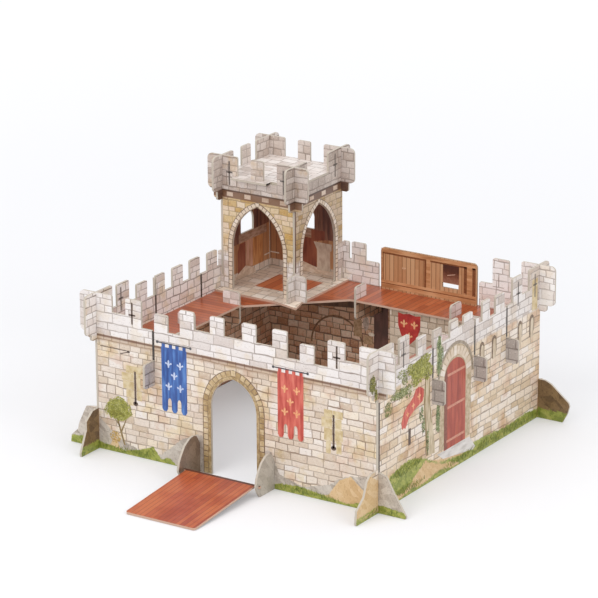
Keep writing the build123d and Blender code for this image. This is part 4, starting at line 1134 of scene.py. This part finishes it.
shield_outline = [(SHIELD + u, v) for u, v in ((-18.5, 141), (-10, 139.5), (0, 141.5), (10, 139.5),
    (18.5, 141), (18, 122), (13, 108), (0, 95), (-13, 108), (-18, 122))]
sheet("shield", "partition", [shield_outline], ink("shield print", ("9c1f1c", "b72e26", "c74234"),
    (0.1, 0.1, 0.1)), 0.25)
sheet("shield_lilies", "partition", [lily((SHIELD + u, v), 11) for u,
    v in ((-8.5, 126), (8.5, 126), (0, 108))], gold_ink, 0.35)
wall_shade_ink = ink("courtyard shade print", ("4a2a1e", "5f382a", "70463a"), (0.1, 0.1, 0.03))
sheet("courtyard_dark_wall", "back inside", [bar(-43.4, -19.4, 20, 144)], wall_shade_ink, 0.15)
lamp_ink = ink("courtyard lamp print", ("ecd6bc", "fff2e0"))
sheet("courtyard_lamp", "back inside", [blob(-48, 73, 5.0, 2.8, 20, 0.1)], lamp_ink, 0.25)
sheet("courtyard_niche", "back inside", [blob(-57, 88, 5.0, 11.0, 21, 0.08)],
    ink("courtyard niche print", ("a58a78", "c4aa98", "d4bdac")), 0.15)
arch_shade_ink = ink("courtyard arch print", ("6b4a30", "8a6444", "a27a56"), (0.2, 0.2, 0.2))
low_arch = arc((-106, 44), 46, 48, 0, 180, 20) + arc((-106, 44), 43.2, 45.2, 180, 0, 20)
sheet("courtyard_arch", "back inside", [low_arch], arch_shade_ink, 0.12)
# The walkway's painted shadow on the back wall.
sheet("courtyard_beam_shade", "back inside", [[(-222, 84), (-150, 100), (-44, 112), (-44, 146), (-222, 146)]],
    ink("courtyard walkway shadow print", ("5e4230", "7a5840", "8e6a50"), (0.1, 0.1, 0.05)), 0.08)
sheet("courtyard_warm_stones", "back inside", bars((-61, -46, 57, 70), (-78, -64, 66, 92)),
    ink("courtyard warm stone print", ("a07a56", "bd9670", "cda884")), 0.18)
sheet("front_wall_hooks", "front", [bar(-218, -172, 149.7, 150.6), blob(-171, 149.5, 2.2, 1.4, 22, 0.1),
    [(-184, 144), (-170, 149), (-170.5, 150), (-185, 145)]], dark_ink, 0.2)
print("other pictures placed")

# %% [markdown]
# ## The painted room inside the tower
# Through the arches one sees a painted room: dark red hangings beside the windows, a ledge of stone
# under them, red doorways, warm wood between, a stone pillar, and a pale floor in perspective. Every
# part of it is one outline with its own ink, laid on the inner face of the tower's left or back wall.

# %% Tower room
hanging_ink = ink("room hanging print", ("54312a", "7a4c3e", "9a6c58", "684134"), (0.16, 0.16, 0.015), 3.0)
doorway_ink = ink("room doorway print", ("6e3424", "8c4a34", "a05c40"), (0.1, 0.1, 0.02))
warm_wood_ink = ink("room warm wood print", ("9c5e34", "bd7c48", "d09660", "b06c3c"), (0.2, 0.2, 0.02))
pale_wood_ink = ink("room pale wood print", ("b07c5e", "c8967a", "d6aa90"), (0.15, 0.15, 0.03))
ledge_ink = ink("room ledge print", ("97745e", "b08d76", "c4a48e"), (0.1, 0.1, 0.3))
pillar_ink = ink("room pillar print", ("bda48e", "d0bba6", "dccbb8"), (0.15, 0.15, 0.08))
painted_floor_ink = ink("room floor print", ("c4a68c", "d8bea6", "e6d2c0"), (0.1, 0.1, 0.2))
# Painted highlight: light lines in the inner corner where the tower's left and back cards meet.
corner_highlight_ink = ink("room corner highlight print", ("d2bfac", "e6d8ca"))
ROOM = {
    "left": (
        ("hangings", bars((110, 129, 205, 258), (163.8, 203, 218, 262)), hanging_ink, 0.1),
        ("ledge", [bar(124, 196, 205, 217.6)], ledge_ink, 0.14),
        ("doorway", [[(121, 160), (141, 168), (141, 204), (127, 204), (121, 192)]], doorway_ink, 0.14),
        ("pale_wood", [[(141, 168.5), (153, 164), (160, 163), (160, 205), (141, 205)]], pale_wood_ink, 0.12),
        ("warm_wood", [bar(160, 186, 162, 205)], warm_wood_ink, 0.12),
        ("floor", [[(110, 151.6), (168, 151.6), (162, 160), (152, 164), (141, 168), (121, 160), (110, 154)]],
            painted_floor_ink, 0.16),
        ("seams", bars((203.2, 205.0, 163, 258), (190, 203.2, 170, 171.8)), corner_highlight_ink, 0.2),
    ),
    "back": (
        ("hangings", bars((-141.7, -124, 217.4, 262), (-124, -104, 205, 262)), hanging_ink, 0.1),
        ("ledge", [bar(-182, -147, 205, 217.6)], ledge_ink, 0.14),
        ("doorway", [[(-162, 167), (-138, 161), (-138, 189), (-143, 200), (-124, 204), (-124, 217.4),
            (-147, 217.4), (-147, 204), (-162, 204)]], doorway_ink, 0.12),
        ("pillar", [[(-143, 199.5), (-112, 199.5), (-112, 190), (-115, 188), (-115, 158), (-137, 158),
            (-137, 188)]], pillar_ink, 0.16),
        ("floor", [[(-166, 151.6), (-104, 151.6), (-104, 158), (-137, 160), (-162, 167), (-166, 160)]],
            painted_floor_ink, 0.14),
        ("seam", [bar(-217.8, -203, 171, 172.8)], corner_highlight_ink, 0.2),
    ),
}
for side, parts in ROOM.items():
    for name, outlines, material, rise in parts:
        sheet(side + "_room_" + name, "tower " + side + " inside", outlines, material, rise)
print("tower room painted")

# %% [markdown]
# ## The plank front
# The tall wooden front on the back walkway is printed as framed boards: a light top rail and bottom
# rails, stiles at both ends and in the middle, dark lines where the frame throws a shadow, and a dark
# window above the slot in the card.

# %% Plank front
rail_ink = ink("plank frame print", ("ad7448", "c58c5f", "d6a478"), (0.03, 0.3, 0.2))
rail_shade_ink = ink("plank frame shade print", ("6f3c18", "8a5028"))
pane_ink = ink("plank window print", ("9c6e58", "7d4a34", "54260f", "42190a"), fall=(174, 201))
sheet("plank_frame_shades", "planks", bars((-26, 43, 200.8, 203.4), (50, 126, 200.8, 203.4),
    (-26.5, -25, 158, 203), (42.8, 46, 152, 206), (107.6, 112.4, 164, 203), (121.5, 126.8, 158, 206),
    (-28, 127, 156.3, 157.6)), rail_shade_ink, 0.15)
sheet("plank_frame", "planks", bars((-28.6, 127.8, 203.4, 208.8), (-28.6, 127.8, 157.6, 161.6),
    (-28.6, 127.8, 150.6, 156.3), (-28.4, -26.3, 161.6, 203.4), (46, 52.5, 161.6, 203.4),
    (112.6, 121.0, 161.6, 203.4)), rail_ink, 0.25)
sheet("plank_window", "planks", [bar(73.4, 99.6, 174.9, 201.4)], pane_ink, 0.2)
sheet("plank_window_line", "planks", [[(80.5, 185.2), (93.5, 188.4), (93.3, 189.3), (81, 186.6)]],
    ink("window line print", ("c49a84", "dcb8a2")), 0.3)
sheet("plank_knob", "planks", [blob(8.6, 184, 3.0, 1.6, 23, 0.2)], ink("knob print", ("c9a07c", "dcb898")),
    0.25)
print("plank front framed")

# %% [markdown]
# ## The floor, the light and the background
# The photo is a plain studio shot on white. The floor is pale, and a little extra light that only the
# camera sees lifts it to white without lighting the castle more, so its shadow stays. One large soft
# lamp stands at the front left, a weaker one at the right and another above, and the world fills the
# rest.

# %% Stage
FLOOR_LEVEL, FLOOR_SIZE = -0.0004, 9.0
FLOOR_GREY, FLOOR_GLOW, FAR_GLOW = (0.70, 0.70, 0.71, 1.0), 0.2, 0.17
NEAR, FAR = 0.45, 3.0
FILL_COLOUR, FILL_STRENGTH, WHITE = (0.96, 0.97, 1.0, 1.0), 0.84, (1.0, 1.0, 1.0, 1.0)


def seen_by_camera(tree):
    rays = add(tree, "LightPath").outputs
    through_glass = calc("MAXIMUM", Flow(rays["Is Glossy Ray"]), Flow(rays["Is Transmission Ray"]))
    return calc("MAXIMUM", Flow(rays["Is Camera Ray"]), through_glass)


floor_mesh = bpy.data.meshes.new("floor")
floor_form = bmesh.new()
bmesh.ops.create_grid(floor_form, x_segments=8, y_segments=8, size=FLOOR_SIZE)
floor_form.to_mesh(floor_mesh)
floor_form.free()
floor = bpy.data.objects.new("floor", floor_mesh)
floor.location.z = FLOOR_LEVEL
bpy.context.scene.collection.objects.link(floor)
floor_paint, tree = new_material("floor paint")
plain = add(tree, "BsdfDiffuse", {"Color": FLOOR_GREY})
away = add(tree, "VectorMath", {0: add(tree, "TexCoord").outputs["Object"]}, operation="LENGTH").outputs[1]
glow = fade(Flow(away), NEAR, FAR) * FAR_GLOW + FLOOR_GLOW
lift = add(tree, "Emission", {"Color": WHITE, "Strength": seen_by_camera(tree) * glow})
total = add(tree, "AddShader", {0: plain.outputs[0], 1: lift.outputs[0]})
add(tree, "OutputMaterial", {0: total.outputs[0]})
floor_mesh.materials.append(floor_paint)

world = bpy.data.worlds.new("studio")
bpy.context.scene.world = world
world.use_nodes = True
tree = world.node_tree
tree.nodes.clear()
fill = add(tree, "Background", {"Color": FILL_COLOUR, "Strength": FILL_STRENGTH})
white = add(tree, "Background", {"Color": WHITE, "Strength": 1.0})
blend = add(tree, "MixShader", {0: seen_by_camera(tree), 1: fill.outputs[0], 2: white.outputs[0]})
add(tree, "OutputWorld", {0: blend.outputs[0]})


def lamp(name, place, power, size, target=(0, 0, 0.12), colour=(1, 1, 1)):
    data = bpy.data.lights.new(name, "AREA")
    data.energy = power
    data.size = size
    data.color = colour
    item = bpy.data.objects.new(name, data)
    item.location = place
    item.rotation_euler = (Vector(target) - Vector(place)).to_track_quat("-Z", "Y").to_euler()
    bpy.context.scene.collection.objects.link(item)


lamp("front lamp", (-0.6, -3.0, 2.4), 46, 2.4, colour=(1.0, 0.98, 0.95))
lamp("side lamp", (3.0, -0.4, 1.9), 22, 1.8)
lamp("top lamp", (0.2, 0.4, 3.2), 12, 2.2)
bpy.context.scene.view_settings.view_transform = "Standard"
print("stage ready")
